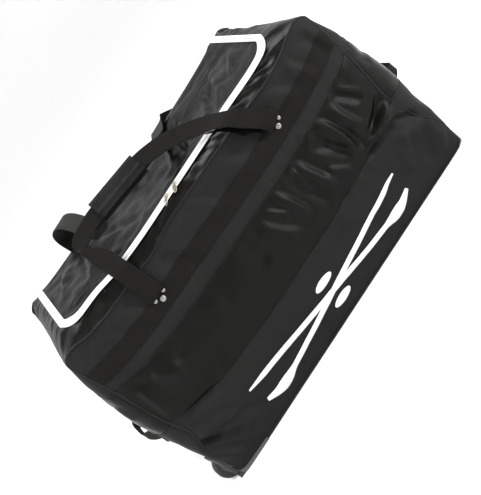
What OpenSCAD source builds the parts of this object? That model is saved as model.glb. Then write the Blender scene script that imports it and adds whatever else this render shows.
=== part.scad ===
// Wheeled hockey equipment bag: soft walls, U-shaped zip lid, two carry handles, two end
// handles and two corner wheels. Millimetres. +X runs along the bag away from the wheels,
// the front faces -Y, and the bag stands on z = 0.

/* [Walls] */
// Length between the end seams at the floor
body_len = 894; // [880:2:910]
// Width across the floor
floor_w = 480; // [476:1:490]
// Height of the front top edge
front_h = 452; // [446:1:458]
// How far each end panel bulges past its seams
end_bulge = 28; // [20:1:32]
// Height of the lower seam of the three bands
low_seam_h = 157; // [130:1:180]
// Height of the upper seam of the three bands
high_seam_h = 312; // [300:1:322]
// Thickness of the padded fabric walls
wall = 3; // [2:0.5:3]

/* [Lid and zip] */
// Distance between the two legs of the zip
zip_w = 774; // [740:2:780]
// Height of the zip along the front
zip_h = 479; // [477:1:482]
// Height of the fold that the lid turns on
fold_h = 496; // [494:1:500]
// Radius of the zip's front corners
zip_corner_r = 52; // [45:1:70]
// Width of each woven zip tape
tape_w = 9; // [7:0.5:10]

/* [Webbing] */
// Width of the carry-handle webbing and of the bands it is riveted to
web_w = 45; // [40:1:46]
// Thickness of the webbing
web_t = 3; // [2:0.5:3]
// Distance from the bag's middle to the left legs of the carry handles
leg_left = 222; // [216:1:226]
// Distance from the bag's middle to the right legs of the carry handles
leg_right = 218; // [214:1:222]
// How far the end handles stand off their panels
end_handle_gap = 28; // [24:1:32]

/* [Wheels] */
// Radius of the wheels
wheel_r = 36; // [34:0.5:37]
// Width of the tyres
tyre_w = 26; // [22:1:28]
// Diameter of the steel axles
axle_d = 8; // [6:1:8]

/* [Hidden] */

$fn = 96;
far = 2000;
gap = 0.3;
fabric = "#34373c";
satin = "#3e3e44";
webbing = "#2b2826";
plastic = "#6c6e72";
nickel = "#b9b4a8";

// the walls lean in towards the top from the upper seam on, and belly out a little at the
// lower one
half_len = body_len / 2;
half_floor = floor_w / 2;
belly = 4;
lean = 16 / 140;
function wall_y(z) =
    z < low_seam_h ? half_floor + belly * z / low_seam_h
    : z < high_seam_h
        ? half_floor + belly * (high_seam_h - z) / (high_seam_h - low_seam_h)
        : half_floor - lean * (z - high_seam_h);
mid_h = 240;
bulge_r = (mid_h * mid_h + end_bulge * end_bulge) / (2 * end_bulge);

// the lid's plane rises from the zip's front run to the fold at the back
zip_y = -178;
fold_y = 200;
lid_depth = norm([fold_y - zip_y, fold_h - zip_h]);
lid_tilt = atan2(fold_h - zip_h, fold_y - zip_y);
rear_h = 478;
slab = wall * 1.25;
coil_w = 4;
tape_in = coil_w / 2 + gap;
tape_out = tape_in + tape_w;

// webbing: bands, anchors and the line the carry handles swing on
band_low = 345;
anchor_low = 352;
swing_h = 391;
band_t = 1.5;
web_y = wall_y(band_low) + band_t + gap + web_t / 2;

// wheels: the axle line and the moulded housing round each wheel
wheel_x = -half_len + 11;
wheel_y = 208;
pocket_w = 42;
cheek_t = 6;
housing_end = -half_len + 101;
housing_top = 82;
skid_h = 10.5;
axle_r = axle_d / 2;
running = 0.05;

// ---------------------------------------------------------------- helpers

// extrudes a (y, z) outline along X
module along_x(length) {
    rotate([90, 0, 90])
        linear_extrude(length, center = true)
            children();
}

// a cylinder along Y, centred on y = 0
module along_y(r, length) {
    rotate([90, 0, 0])
        cylinder(r = r, h = length, center = true);
}

// everything between the two curved ends, drawn in by inset
module between_ends(inset = 0) {
    intersection_for (side = [-1, 1])
        translate([side * (half_len + end_bulge - bulge_r), 0, mid_h])
            along_y(bulge_r - inset, far, $fn = 720);
}

// puts its children in the lid's plane: x, then up the slope from the zip, then out of it
module on_lid_plane() {
    translate([0, zip_y, zip_h])
        rotate([lid_tilt, 0, 0])
            children();
}

// a U-shaped outline, grow wider than the zip's centre line, open at the fold
module lid_outline(grow) {
    r = zip_corner_r + grow;
    half = zip_w / 2 + grow;
    intersection() {
        union() {
            translate([-half, r - grow])
                square([2 * half, far]);
            translate([r - half, -grow])
                square([2 * (half - r), far]);
            for (side = [-1, 1])
                translate([side * (half - r), r - grow])
                    circle(r);
        }
        translate([-far / 2, -far / 2])
            square([far, far / 2 + lid_depth]);
    }
}

// a flat strip that follows the zip, from one offset to another
module zip_strip(inner, outer, low, high) {
    on_lid_plane()
        translate([0, 0, low])
            linear_extrude(high - low)
                difference() {
                    lid_outline(outer);
                    lid_outline(inner);
                }
}

function unit(v) = v / norm(v);
function tangent(p, i) = unit(p[min(i + 1, len(p) - 1)] - p[max(i - 1, 0)]);

// a strap of rectangular section along a path; face gives the outward side at each point
module strap(path, face, width, thick) {
    n = len(path);
    points = [for (i = [0:n - 1])
        let (t = tangent(path, i), a = unit(cross(t, face[i])), o = unit(cross(a, t)))
            for (c = [[-1, -1], [1, -1], [1, 1], [-1, 1]])
                path[i] + a * c[0] * width / 2 + o * c[1] * thick / 2];
    sides = [for (i = [0:n - 2]) for (k = [0:3])
        let (a = 4 * i + k, b = 4 * i + (k + 1) % 4)
            for (f = [[a, b, b + 4], [a, b + 4, a + 4]]) f];
    last = 4 * (n - 1);
    ends = [[0, 2, 1], [0, 3, 2], [last, last + 1, last + 2], [last, last + 2, last + 3]];
    polyhedron(points, concat(sides, ends), convexity = 6);
}

// ---------------------------------------------------------------- walls

// one horizontal band of the front (side -1) or rear (side 1) wall
module wall_band(side, low, high) {
    difference() {
        intersection() {
            along_x(far)
                polygon([[side * wall_y(low), low],
                         [side * wall_y(high), high],
                         [side * (wall_y(high) - wall), high],
                         [side * (wall_y(low) - wall), low]]);
            between_ends();
        }
        // the foot of the lower band gives way to the skid of the wheel housing
        translate([housing_end + gap - far, -far / 2, -1])
            cube([far, far, skid_h + 1 + gap]);
    }
}

module end_panel(side) {
    inside = wall + gap;
    difference() {
        intersection() {
            along_x(far)
                polygon([[inside - wall_y(0), 0],
                         [inside - wall_y(low_seam_h), low_seam_h],
                         [inside - wall_y(high_seam_h), high_seam_h],
                         [inside - wall_y(front_h), front_h - slab - gap],
                         [zip_y - tape_out, zip_h - slab - gap - 1],
                         [fold_y, fold_h - slab - gap],
                         [wall_y(rear_h) - inside, rear_h - slab - gap],
                         [wall_y(high_seam_h) - inside, high_seam_h],
                         [wall_y(low_seam_h) - inside, low_seam_h],
                         [wall_y(0) - inside, 0]]);
            difference() {
                between_ends();
                between_ends(wall);
            }
            translate([side * far / 2, 0, 0])
                cube([far, far, far], center = true);
        }
        if (side < 0)
            wheel_notches(housing_top + 8);
    }
}

// clears the two wheel corners up to a height
module wheel_notches(height) {
    for (side = [-1, 1])
        translate([housing_end + gap - far, side * (far / 2 + wheel_y - 30) - far / 2, -1])
            cube([far, far, height + 1]);
}

module bottom_panel() {
    color(fabric)
        difference() {
            translate([-half_len + wall + 0.5, -half_floor + wall + 0.2, 0])
                cube([body_len - 2 * wall - 1, floor_w - 2 * wall - 0.4, wall]);
            wheel_notches(wall);
        }
}

module base_board() {
    color("#202124")
        difference() {
            translate([-half_len + 14, -half_floor + 12, wall])
                cube([body_len - 28, floor_w - 24, 3]);
            translate([0, 0, wall])
                wheel_notches(wall);
            housing_screw_places()
                cylinder(r = 2.2, h = 40, center = true);
        }
}

module front_lower_panel() {
    color(fabric)
        wall_band(-1, 0, low_seam_h);
}

module front_middle_panel() {
    color(satin)
        wall_band(-1, low_seam_h, high_seam_h);
}

module front_upper_panel() {
    color(fabric)
        wall_band(-1, high_seam_h, front_h - slab);
}

module rear_lower_panel() {
    color(fabric)
        wall_band(1, 0, low_seam_h);
}

module rear_middle_panel() {
    color(satin)
        wall_band(1, low_seam_h, high_seam_h);
}

module rear_upper_panel() {
    color(fabric)
        wall_band(1, high_seam_h, rear_h - slab);
}

module left_end_panel() {
    color(fabric)
        end_panel(-1);
}

module right_end_panel() {
    color(fabric)
        end_panel(1);
}

// ---------------------------------------------------------------- top

// a sloping strip of the top, the full length of the bag
module top_slope(y0, z0, y1, z1) {
    intersection() {
        along_x(far)
            polygon([[y0, z0], [y1, z1], [y1, z1 - slab], [y0, z0 - slab]]);
        between_ends();
    }
}

module front_gusset() {
    color(satin)
        top_slope(-wall_y(front_h), front_h, zip_y - tape_out - gap, zip_h - 1);
}

module rear_gusset() {
    color(satin)
        top_slope(fold_y + 1, fold_h, wall_y(rear_h), rear_h);
}

// the top between the zip's leg and the end panel
module side_gusset(side) {
    intersection() {
        on_lid_plane()
            translate([0, 0, -wall])
                linear_extrude(wall)
                    difference() {
                        translate([side > 0 ? zip_w / 2 - zip_corner_r : -far, -tape_out])
                            square([side > 0 ? far : far - zip_w / 2 + zip_corner_r,
                                    tape_out + lid_depth]);
                        lid_outline(tape_out + gap);
                    }
        between_ends();
    }
}

module left_gusset() {
    color(satin)
        side_gusset(-1);
}

module right_gusset() {
    color(satin)
        side_gusset(1);
}

module bag_zip_tape() {
    color("white")
        zip_strip(tape_in, tape_out, -1, 0.2);
}

module zip_coil() {
    color("white")
        zip_strip(-coil_w / 2, coil_w / 2, -1, 1.5);
}

module lid_zip_tape() {
    color("white")
        zip_strip(-tape_out, -tape_in, -1, 0.2);
}

module lid_panel() {
    color(satin)
        on_lid_plane()
            translate([0, 0, -wall])
                linear_extrude(wall)
                    lid_outline(-tape_out - gap);
}

// points of a quarter turn round a corner, from one angle to another, measured from +Z to +X
function corner_arc(x, z, r, from, to) =
    [for (k = [0:5]) let (a = from + (to - from) * k / 5) [x + r * sin(a), z + r * cos(a)]];

// the welt seam round the front (side -1) or rear (side 1) wall, as one closed tube
module piping(side, top) {
    r = 2.4;
    c = 20;
    low = r + 0.1;
    half = concat(corner_arc(half_len - 2 - c, top - c, c, 0, 90),
                  [[half_len - 10, high_seam_h], [half_len - 16, low_seam_h]],
                  corner_arc(half_len - 6 - c, low + c, c, 90, 180));
    n = len(half);
    outline = concat(half, [for (i = [n - 1:-1:0]) [-half[i][0], half[i][1]]]);
    closed_tube([for (p = outline) [p[0], side * (wall_y(p[1]) + r + gap), p[1]]], r, 10);
}

// a tube of n sides along a closed path that lies nearly in an XZ plane
module closed_tube(path, r, n) {
    m = len(path);
    points = [for (i = [0:m - 1])
        let (t = unit(path[(i + 1) % m] - path[(i + m - 1) % m]),
             a = unit(cross(t, [0, 1, 0])), b = cross(a, t))
            for (k = [0:n - 1])
                path[i] + r * (cos(360 * k / n) * a + sin(360 * k / n) * b)];
    faces = [for (i = [0:m - 1]) for (k = [0:n - 1])
        let (p = n * i + k, q = n * i + (k + 1) % n,
             p2 = n * ((i + 1) % m) + k, q2 = n * ((i + 1) % m) + (k + 1) % n)
            for (f = [[p, q, q2], [p, q2, p2]]) f];
    polyhedron(points, faces, convexity = 6);
}

module front_piping() {
    color("#111111")
        piping(-1, front_h + 4);
}

module rear_piping() {
    color("#111111")
        piping(1, rear_h + 4);
}

// ---------------------------------------------------------------- webbing

// the horizontal band sewn on the upper wall
module web_band(side) {
    high = band_low + web_w;
    y0 = wall_y(band_low) + 0.1;
    y1 = wall_y(high) + 0.1;
    intersection() {
        along_x(body_len - 28)
            polygon([[side * y0, band_low], [side * y1, high],
                     [side * (y1 + band_t), high], [side * (y0 + band_t), band_low]]);
        between_ends(8);
    }
}

module front_web_band() {
    color(webbing)
        web_band(-1);
}

module rear_web_band() {
    color(webbing)
        web_band(1);
}

// repeats its children at the four places where a carry handle is riveted on, with the
// outside of the bag along +Y
module at_anchors() {
    for (x = [-leg_left, leg_right])
        for (side = [0, 1])
            mirror([0, 1 - side, 0])
                translate([x, web_y, 0])
                    children();
}

module handle_anchors() {
    color(webbing)
        at_anchors()
            translate([-web_w / 2, -web_t / 2, anchor_low])
                cube([web_w, web_t, swing_h - anchor_low - 0.4]);
}

large_rivet_z = 366;
small_rivet_z = 378;
small_rivet_x = 14;
large_head_r = 6.5;
small_head_r = 4.5;
burr_t = 1.2;

// depth of the wall's inside behind a rivet, from the middle of the webbing
function burr_seat(r, z) = web_y - wall_y(z + r) + wall + 0.1;

// a domed head on the webbing with its shank through to the inside
module rivet(r, x, z) {
    shank = burr_seat(r, z) + burr_t;
    translate([x, 0, z])
        rotate([-90, 0, 0]) {
            translate([0, 0, web_t / 2])
                cylinder(r1 = r, r2 = r * 0.62, h = 2.4);
            translate([0, 0, -shank])
                cylinder(r = r * 0.4, h = shank + web_t / 2);
        }
}

// the burr that a rivet's shank is closed over on the inside of the wall
module burr(r, x, z) {
    translate([x, -burr_seat(r, z) - burr_t, z])
        rotate([-90, 0, 0])
            cylinder(r = r, h = burr_t);
}

module large_rivets() {
    color(nickel)
        at_anchors()
            rivet(large_head_r, 0, large_rivet_z);
}

module small_rivets() {
    color(nickel)
        at_anchors()
            for (x = [-small_rivet_x, small_rivet_x])
                rivet(small_head_r, x, small_rivet_z);
}

module rivet_washers() {
    color(nickel)
        at_anchors() {
            burr(large_head_r, 0, large_rivet_z);
            for (x = [-small_rivet_x, small_rivet_x])
                burr(small_head_r, x, small_rivet_z);
        }
}

// a grab handle along Y on an end panel, with its two ends sewn flat
module end_handle(side) {
    z = 166;
    skin = half_len + end_bulge + 0.4;
    out = skin + end_handle_gap;
    t = 3;
    path = [[skin, 130], [skin, 92], [out - t, 62], [out - t, -62], [skin, -92], [skin, -130],
            [skin + t, -130], [skin + t, -90], [out, -60], [out, 60], [skin + t, 90],
            [skin + t, 130]];
    translate([0, 0, z - 15])
        linear_extrude(30)
            polygon([for (p = path) [side * p[0], p[1]]]);
}

module left_end_handle() {
    color(webbing)
        end_handle(-1);
}

module right_end_handle() {
    color(webbing)
        end_handle(1);
}

// the carry handles' upper parts lie in a plane that leans back over the lid from knee_z up
knee_z = 470;
lean_back = 48;
up_slope = [0, sin(lean_back), cos(lean_back)];
out_face = [0, -cos(lean_back), sin(lean_back)];
grip_turn = -7;
pair_gap = 7;
function on_slope(x, s) = [x, -web_y + 2, knee_z] + s * up_slope;
out_front = [0, -1, 0];
grip_at = on_slope(-78, 135);
cuff_len = 140;
cuff_w = 58;
cuff_t = 5;
cuff_gap = 0.4;

front_path = [[-leg_left, -web_y, swing_h + 0.3],
              [-leg_left, -web_y, 430],
              [-leg_left, 0.5 - web_y, 458],
              on_slope(-leg_left, 8),
              on_slope(-leg_left, 45),
              on_slope(-leg_left + 1, 84),
              on_slope(-leg_left + 9, 112),
              on_slope(-leg_left + 26, 132),
              on_slope(-leg_left + 48, 142),
              on_slope(-150, 144),
              grip_at,
              on_slope(-8, 126),
              on_slope(46, 109),
              on_slope(84, 88),
              on_slope(120, 62),
              on_slope(152, 36),
              on_slope(180, 10),
              [leg_right - 20, 0.5 - web_y, 456],
              [leg_right - 8, -web_y, 432],
              [leg_right, -web_y, 408],
              [leg_right, -web_y, swing_h + 0.3]];
front_face = [for (i = [0:len(front_path) - 1])
    i < 2 || i > 17 ? out_front : i == 2 || i == 17 ? unit(out_front + 0.4 * out_face)
    : i == 3 || i == 16 ? unit(out_front + 1.6 * out_face) : out_face];

behind = -pair_gap * out_face;
rear_path = [[-leg_left, web_y, swing_h + 0.3],
             [-leg_left, web_y, 445],
             [-leg_left - 1, web_y - 1, 490],
             [-leg_left - 2, web_y - 12, 526],
             [-leg_left - 1, 190, 556],
             [-218, 150, 571],
             [-213, 100, 576],
             [-206, 50, 575],
             [-198, 0, 570],
             [-192, -45, 564],
             [-186, -84, 558],
             on_slope(-176, 124) + behind,
             on_slope(-160, 142) + behind,
             on_slope(-130, 142) + behind,
             grip_at + behind,
             on_slope(-26, 129) + behind,
             on_slope(6, 124) + behind,
             [34, -108, 538],
             [58, -62, 530],
             [82, 0, 524],
             [106, 60, 519],
             [130, 120, 516],
             [152, 175, 514],
             [168, 212, 506],
             [180, web_y - 4, 486],
             [197, web_y, 452],
             [leg_right - 6, web_y, 428],
             [leg_right, web_y, 410],
             [leg_right, web_y, swing_h + 0.3]];
up = [0, 0, 1];
out_rear = [0, 1, 0];
rear_face = [out_rear, out_rear, out_rear, unit(out_rear + 0.5 * up), unit(out_rear + 1.6 * up),
             unit(0.3 * out_rear + up), up, up, up, unit(up + 0.15 * out_face),
             unit(up + 0.6 * out_face), unit(0.3 * up + out_face), out_face, out_face,
             out_face, out_face, out_face, unit(1.2 * up + out_face),
             unit(3 * up + out_face), up, up, up, unit(0.15 * out_rear + up),
             unit(0.9 * out_rear + up), unit(out_rear + 0.3 * up), out_rear, out_rear,
             out_rear, out_rear];

module front_handle_web() {
    color(webbing)
        strap(front_path, front_face, web_w, web_t);
}

module rear_handle_web() {
    color(webbing)
        strap(rear_path, rear_face, web_w, web_t);
}

// one side of the padded cuff round both webs, from one depth on
module cuff_half(low) {
    translate(grip_at)
        rotate([90 - lean_back, 0, 0])
            rotate([0, 0, grip_turn])
                translate([-cuff_len / 2, -cuff_w / 2, low])
                    cube([cuff_len, cuff_w, cuff_t]);
}

module grip_front_pad() {
    color(satin)
        cuff_half(web_t / 2 + cuff_gap);
}

module grip_rear_pad() {
    color(satin)
        cuff_half(-pair_gap - web_t / 2 - cuff_gap - cuff_t);
}

// ---------------------------------------------------------------- sliders and pulls

left_slider_x = -36;
right_slider_x = -6;
slider_len = 15;

slider_top = 4.4;
bar_back = 4.5;
bar_h = 7.6;
bar_r = 1.2;

// the slider's body rides on the coil and leaves the lid's tape free
module slider(x) {
    on_lid_plane()
        translate([x, 0, 0]) {
            translate([-slider_len / 2, -8, 1.5 + gap])
                cube([slider_len, 10, slider_top - 1.5 - gap]);
            // bridge that the pull hangs from
            for (end = [-1, 1])
                translate([end * 5.2 - 0.9, -bar_back - 2.5, slider_top - 0.1])
                    cube([1.8, 5, bar_h + 1.4 - slider_top]);
            translate([-5.2, -bar_back, bar_h])
                rotate([0, 90, 0])
                    cylinder(r = bar_r, h = 10.4);
        }
}

pull_drop = 30;
pull_t = 1.8;
pull_r = 6;
pull_far = 25;

// an oval tab with a hole, hanging from the slider's bridge over the front gusset
module pull(x) {
    on_lid_plane()
        translate([x, -bar_back, bar_h])
            rotate([pull_drop, 0, 0])
                difference() {
                    union() {
                        translate([-3.4, -6, -pull_t / 2])
                            cube([6.8, 4.5, pull_t]);
                        for (y = [-10, -pull_far])
                            translate([0, y, -pull_t / 2])
                                cylinder(r = pull_r, h = pull_t);
                        translate([-pull_r, -pull_far, -pull_t / 2])
                            cube([2 * pull_r, pull_far - 10, pull_t]);
                        rotate([0, 90, 0])
                            cylinder(r = 2.9, h = 6.8, center = true);
                    }
                    translate([0, -pull_far, -3])
                        cylinder(r = 2.8, h = 6);
                    rotate([0, 90, 0])
                        cylinder(r = bar_r + running, h = 30, center = true);
                }
}

module left_slider() {
    color(nickel)
        slider(left_slider_x);
}

module right_slider() {
    color(nickel)
        slider(right_slider_x);
}

module left_pull() {
    color(nickel)
        pull(left_slider_x);
}

module right_pull() {
    color(nickel)
        pull(right_slider_x);
}

// ---------------------------------------------------------------- wheels

// repeats its children at the front (side -1) and rear (side 1) axle, with +Y outwards
module at_wheel(side) {
    mirror([0, side < 0 ? 1 : 0, 0])
        translate([wheel_x, wheel_y, wheel_r])
            children();
}

// places of the four screws that hold the housings' flanges to the base board
module housing_screw_places() {
    for (side = [-1, 1])
        for (y = [wheel_y - 16, wheel_y + 12])
            translate([housing_end + 14, side * y, wall])
                children();
}

// cheeks, back wall and skid, moulded in one
module wheel_housing(side) {
    inner = pocket_w / 2;
    difference() {
        at_wheel(side) {
            difference() {
                union() {
                    intersection() {
                        union() {
                            along_y(44, pocket_w + 2 * cheek_t);
                            translate([0, -inner - cheek_t, -wheel_r])
                                cube([housing_end - wheel_x, pocket_w + 2 * cheek_t,
                                      housing_top]);
                        }
                        translate([-12, -far / 2, -wheel_r])
                            cube([far, far, housing_top]);
                    }
                    translate([-12, -inner - cheek_t, -wheel_r])
                        cube([housing_end - wheel_x + 12, pocket_w / 2 + cheek_t
                              + half_floor - wheel_y, skid_h]);
                }
                // pocket for the wheel, open to the end and to the floor
                along_y(wheel_r + 3.5, pocket_w);
                translate([-far, -inner, -far / 2])
                    cube([far, pocket_w, far]);
                along_y(axle_r + running, far);
            }
            translate([housing_end - wheel_x - 1, -inner - cheek_t, wall + 3.2 - wheel_r])
                cube([28, 48, 3]);
        }
        housing_screw_places()
            cylinder(r = 2.2, h = 40, center = true);
    }
}

module front_wheel_housing() {
    color(plastic)
        wheel_housing(-1);
}

module rear_wheel_housing() {
    color(plastic)
        wheel_housing(1);
}

module housing_screws() {
    color(nickel)
        housing_screw_places() {
            translate([0, 0, 0.4])
                cylinder(r = 2, h = 6);
            translate([0, 0, 6.3])
                cylinder(r1 = 4.5, r2 = 3, h = 2.2);
        }
}

module wheel_axles() {
    color(nickel)
        for (side = [-1, 1])
            at_wheel(side)
                translate([0, -2, 0])
                    along_y(axle_r, pocket_w + 2 * cheek_t + 4);
}

// plain bushes that keep each wheel in the middle of its pocket
module axle_bushes() {
    color(plastic)
        for (side = [-1, 1], end = [-1, 1])
            at_wheel(side)
                translate([0, end * (pocket_w / 2 + tyre_w / 2) / 2, 0])
                    difference() {
                        along_y(6.2, (pocket_w - tyre_w) / 2 - 0.8);
                        along_y(axle_r + running, far);
                    }
}

// push-on clips on the inboard ends of the axles
module axle_clips() {
    color(nickel)
        for (side = [-1, 1])
            at_wheel(side)
                translate([0, -pocket_w / 2 - cheek_t - 1.1, 0])
                    difference() {
                        along_y(8, 1.6);
                        along_y(axle_r + 0.03, far);
                    }
}

hub_r = 25;
bearing_r = 11;
bearing_w = 7;

module tyre(side) {
    at_wheel(side)
        rotate([90, 0, 0])
            rotate_extrude()
                polygon([[hub_r, -tyre_w / 2 + 1],
                         [wheel_r - 4, -tyre_w / 2],
                         [wheel_r, -tyre_w / 2 + 5],
                         [wheel_r, tyre_w / 2 - 5],
                         [wheel_r - 4, tyre_w / 2],
                         [hub_r, tyre_w / 2 - 1]]);
}

module hub(side) {
    at_wheel(side)
        difference() {
            along_y(hub_r, tyre_w - 4);
            along_y(axle_r + 1.5, far);
            for (end = [-1, 1])
                translate([0, end * (tyre_w / 2 - 2), 0])
                    along_y(bearing_r, 2 * bearing_w);
            // lightening holes
            for (a = [0:60:300])
                rotate([0, a, 0])
                    translate([17.5, 0, 0])
                        along_y(4, far);
        }
}

module bearings(side) {
    at_wheel(side)
        for (end = [-1, 1])
            translate([0, end * (tyre_w / 2 - 2 - bearing_w / 2), 0])
                difference() {
                    along_y(bearing_r, bearing_w);
                    along_y(axle_r + running, far);
                }
}

module front_tyre() {
    color("#26272a")
        tyre(-1);
}

module front_hub() {
    color(plastic)
        hub(-1);
}

module front_bearings() {
    color(nickel)
        bearings(-1);
}

module rear_tyre() {
    color("#26272a")
        tyre(1);
}

module rear_hub() {
    color(plastic)
        hub(1);
}

module rear_bearings() {
    color(nickel)
        bearings(1);
}

bottom_panel();
base_board();
front_lower_panel();
front_middle_panel();
front_upper_panel();
rear_lower_panel();
rear_middle_panel();
rear_upper_panel();
left_end_panel();
right_end_panel();
front_gusset();
rear_gusset();
left_gusset();
right_gusset();
bag_zip_tape();
zip_coil();
front_piping();
rear_piping();
front_web_band();
rear_web_band();
handle_anchors();
large_rivets();
small_rivets();
rivet_washers();
left_end_handle();
right_end_handle();
front_wheel_housing();
rear_wheel_housing();
housing_screws();
wheel_axles();
axle_bushes();
axle_clips();
lid_panel();
lid_zip_tape();
left_slider();
right_slider();
left_pull();
right_pull();
front_handle_web();
grip_front_pad();
rear_handle_web();
grip_rear_pad();
front_tyre();
front_hub();
front_bearings();
rear_tyre();
rear_hub();
rear_bearings();
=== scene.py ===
"""Looks of a wheeled hockey equipment bag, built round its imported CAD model. Metres, +Z up."""

import math

import bpy
import numpy as np
from mathutils import Matrix, Vector


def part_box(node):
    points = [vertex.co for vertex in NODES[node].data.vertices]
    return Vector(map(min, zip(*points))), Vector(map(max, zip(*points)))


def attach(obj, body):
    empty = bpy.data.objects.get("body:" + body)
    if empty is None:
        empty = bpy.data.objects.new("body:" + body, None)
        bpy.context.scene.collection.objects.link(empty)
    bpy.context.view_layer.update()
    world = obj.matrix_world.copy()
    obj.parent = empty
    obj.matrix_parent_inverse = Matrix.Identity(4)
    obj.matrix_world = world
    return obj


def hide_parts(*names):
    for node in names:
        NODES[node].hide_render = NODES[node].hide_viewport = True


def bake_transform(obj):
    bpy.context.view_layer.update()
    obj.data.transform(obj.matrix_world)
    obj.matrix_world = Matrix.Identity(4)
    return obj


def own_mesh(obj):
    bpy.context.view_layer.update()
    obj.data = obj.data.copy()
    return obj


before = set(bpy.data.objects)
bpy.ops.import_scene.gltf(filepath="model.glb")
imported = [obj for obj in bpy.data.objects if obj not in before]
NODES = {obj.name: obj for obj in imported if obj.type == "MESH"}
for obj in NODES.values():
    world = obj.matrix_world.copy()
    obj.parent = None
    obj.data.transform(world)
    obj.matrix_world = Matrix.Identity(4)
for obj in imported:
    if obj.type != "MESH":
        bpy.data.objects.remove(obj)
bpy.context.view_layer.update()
SCENE = bpy.context.scene
MM = 0.001

# ------------------------------------------------------------------ small maths


def spline(*pairs):
    """A smooth curve through (x, y) pairs, as a function of an array, held level past its ends."""
    xs, ys = np.array(pairs, float).T
    slopes = np.gradient(ys, xs)

    def value(x):
        x = np.clip(np.asarray(x, float), xs[0], xs[-1])
        i = np.clip(np.searchsorted(xs, x) - 1, 0, len(xs) - 2)
        h = xs[i + 1] - xs[i]
        t = (x - xs[i]) / h
        rise = 3 * t**2 - 2 * t**3
        bend = (t**3 - 2 * t**2 + t) * slopes[i] + (t**3 - t**2) * slopes[i + 1]
        return ys[i] + rise * (ys[i + 1] - ys[i]) + h * bend

    return value


def smooth(t):
    t = np.clip(t, 0.0, 1.0)
    return t * t * (3 - 2 * t)


def unit(v):
    v = np.asarray(v, float)
    return v / np.maximum(np.linalg.norm(v, axis=-1, keepdims=True), 1e-12)


def normals_of(grid, closed=False):
    """Unit normals of a (rows, columns, 3) grid, from its own slopes."""
    if closed:
        wide = np.concatenate([grid[:, -1:], grid, grid[:, :1]], axis=1)
        across = (wide[:, 2:] - wide[:, :-2]) / 2
    else:
        across = np.gradient(grid, axis=1)
    along = np.gradient(grid, axis=0)
    return unit(np.cross(across, along))


def resample(points, count):
    """count points evenly spaced along a polyline."""
    steps = np.linalg.norm(np.diff(points, axis=0), axis=1)
    run = np.concatenate([[0], np.cumsum(steps)])
    at = np.linspace(0, run[-1], count)
    return np.stack([np.interp(at, run, points[:, k]) for k in range(points.shape[1])], axis=1)


def catmull(points, step):
    """A smooth path through points, sampled about every step."""
    p = np.array(points, float)
    p = np.vstack([2 * p[0] - p[1], p, 2 * p[-1] - p[-2]])
    out = []
    for i in range(1, len(p) - 2):
        for t in np.linspace(0, 1, 12, endpoint=False):
            out.append(0.5 * (2 * p[i] + (p[i + 1] - p[i - 1]) * t
                              + (2 * p[i - 1] - 5 * p[i] + 4 * p[i + 1] - p[i + 2]) * t**2
                              + (3 * p[i] - p[i - 1] - 3 * p[i + 1] + p[i + 2]) * t**3))
    out.append(p[-2])
    out = np.array(out)
    length = np.linalg.norm(np.diff(out[:, :3], axis=0), axis=1).sum()
    return resample(out, max(4, int(length / step)))


def fine_steps(length_in_cells, fine=3):
    """Parameters from 0 to 1 that crowd together at both ends, where the seams are."""
    t = np.linspace(0, 1, length_in_cells + 1)
    edge = 1.0 / length_in_cells
    near = np.array([0.12, 0.3, 0.6])[:fine] * edge
    return np.unique(np.concatenate([t, near, 1 - near]))


def waves(p, scale, seed, octaves=3):
    """Smooth noise over an array of 3-D points, from sine waves in seeded directions."""
    rng = np.random.RandomState(seed)
    total = np.zeros(p.shape[:-1])
    for octave in range(octaves):
        for _ in range(5):
            direction = unit(rng.normal(size=3)) * 2 * math.pi / (scale / 2**octave)
            total += np.sin(p @ direction + rng.uniform(0, 6.28)) / (5 * 1.7**octave)
    return total


# ------------------------------------------------------------------ meshes


def mesh_object(name, verts, faces, uvs=None):
    mesh = bpy.data.meshes.new(name)
    mesh.from_pydata([tuple(v) for v in verts], [], faces)
    if uvs is not None:
        layer = mesh.uv_layers.new(name="UVMap")
        index = np.zeros(len(mesh.loops), int)
        mesh.loops.foreach_get("vertex_index", index)
        layer.data.foreach_set("uv", np.asarray(uvs, float)[index].ravel())
    mesh.polygons.foreach_set("use_smooth", [True] * len(mesh.polygons))
    mesh.update()
    obj = bpy.data.objects.new(name, mesh)
    SCENE.collection.objects.link(obj)
    return obj


def grid_object(name, grid, closed=False, flip=False):
    """A quad mesh over a (rows, columns, 3) grid, with UVs in metres."""
    rows, cols = grid.shape[:2]
    faces = []
    last = cols if closed else cols - 1
    for r in range(rows - 1):
        for c in range(last):
            d = (c + 1) % cols
            quad = (r * cols + c, r * cols + d, (r + 1) * cols + d, (r + 1) * cols + c)
            faces.append(quad[::-1] if flip else quad)
    du = np.linalg.norm(np.diff(grid, axis=1), axis=2).mean(0)
    dv = np.linalg.norm(np.diff(grid, axis=0), axis=2).mean(1)
    u = np.concatenate([[0], np.cumsum(du)])
    v = np.concatenate([[0], np.cumsum(dv)])
    uu, vv = np.meshgrid(u, v)
    uvs = np.stack([uu.ravel(), vv.ravel()], axis=1)
    return mesh_object(name, grid.reshape(-1, 3), faces, uvs)


def thicken(obj, thickness, offset=-1.0, bevel=0.0):
    mod = obj.modifiers.new("thickness", "SOLIDIFY")
    mod.thickness = thickness
    mod.offset = offset
    mod.use_even_offset = False
    if bevel:
        edge = obj.modifiers.new("edge", "BEVEL")
        edge.width = bevel
        edge.segments = 2
        edge.limit_method = "ANGLE"
        edge.angle_limit = math.radians(50)
    return obj


def paint(obj, *materials):
    obj.data.materials.clear()
    for m in materials:
        obj.data.materials.append(m)
    return obj


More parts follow.
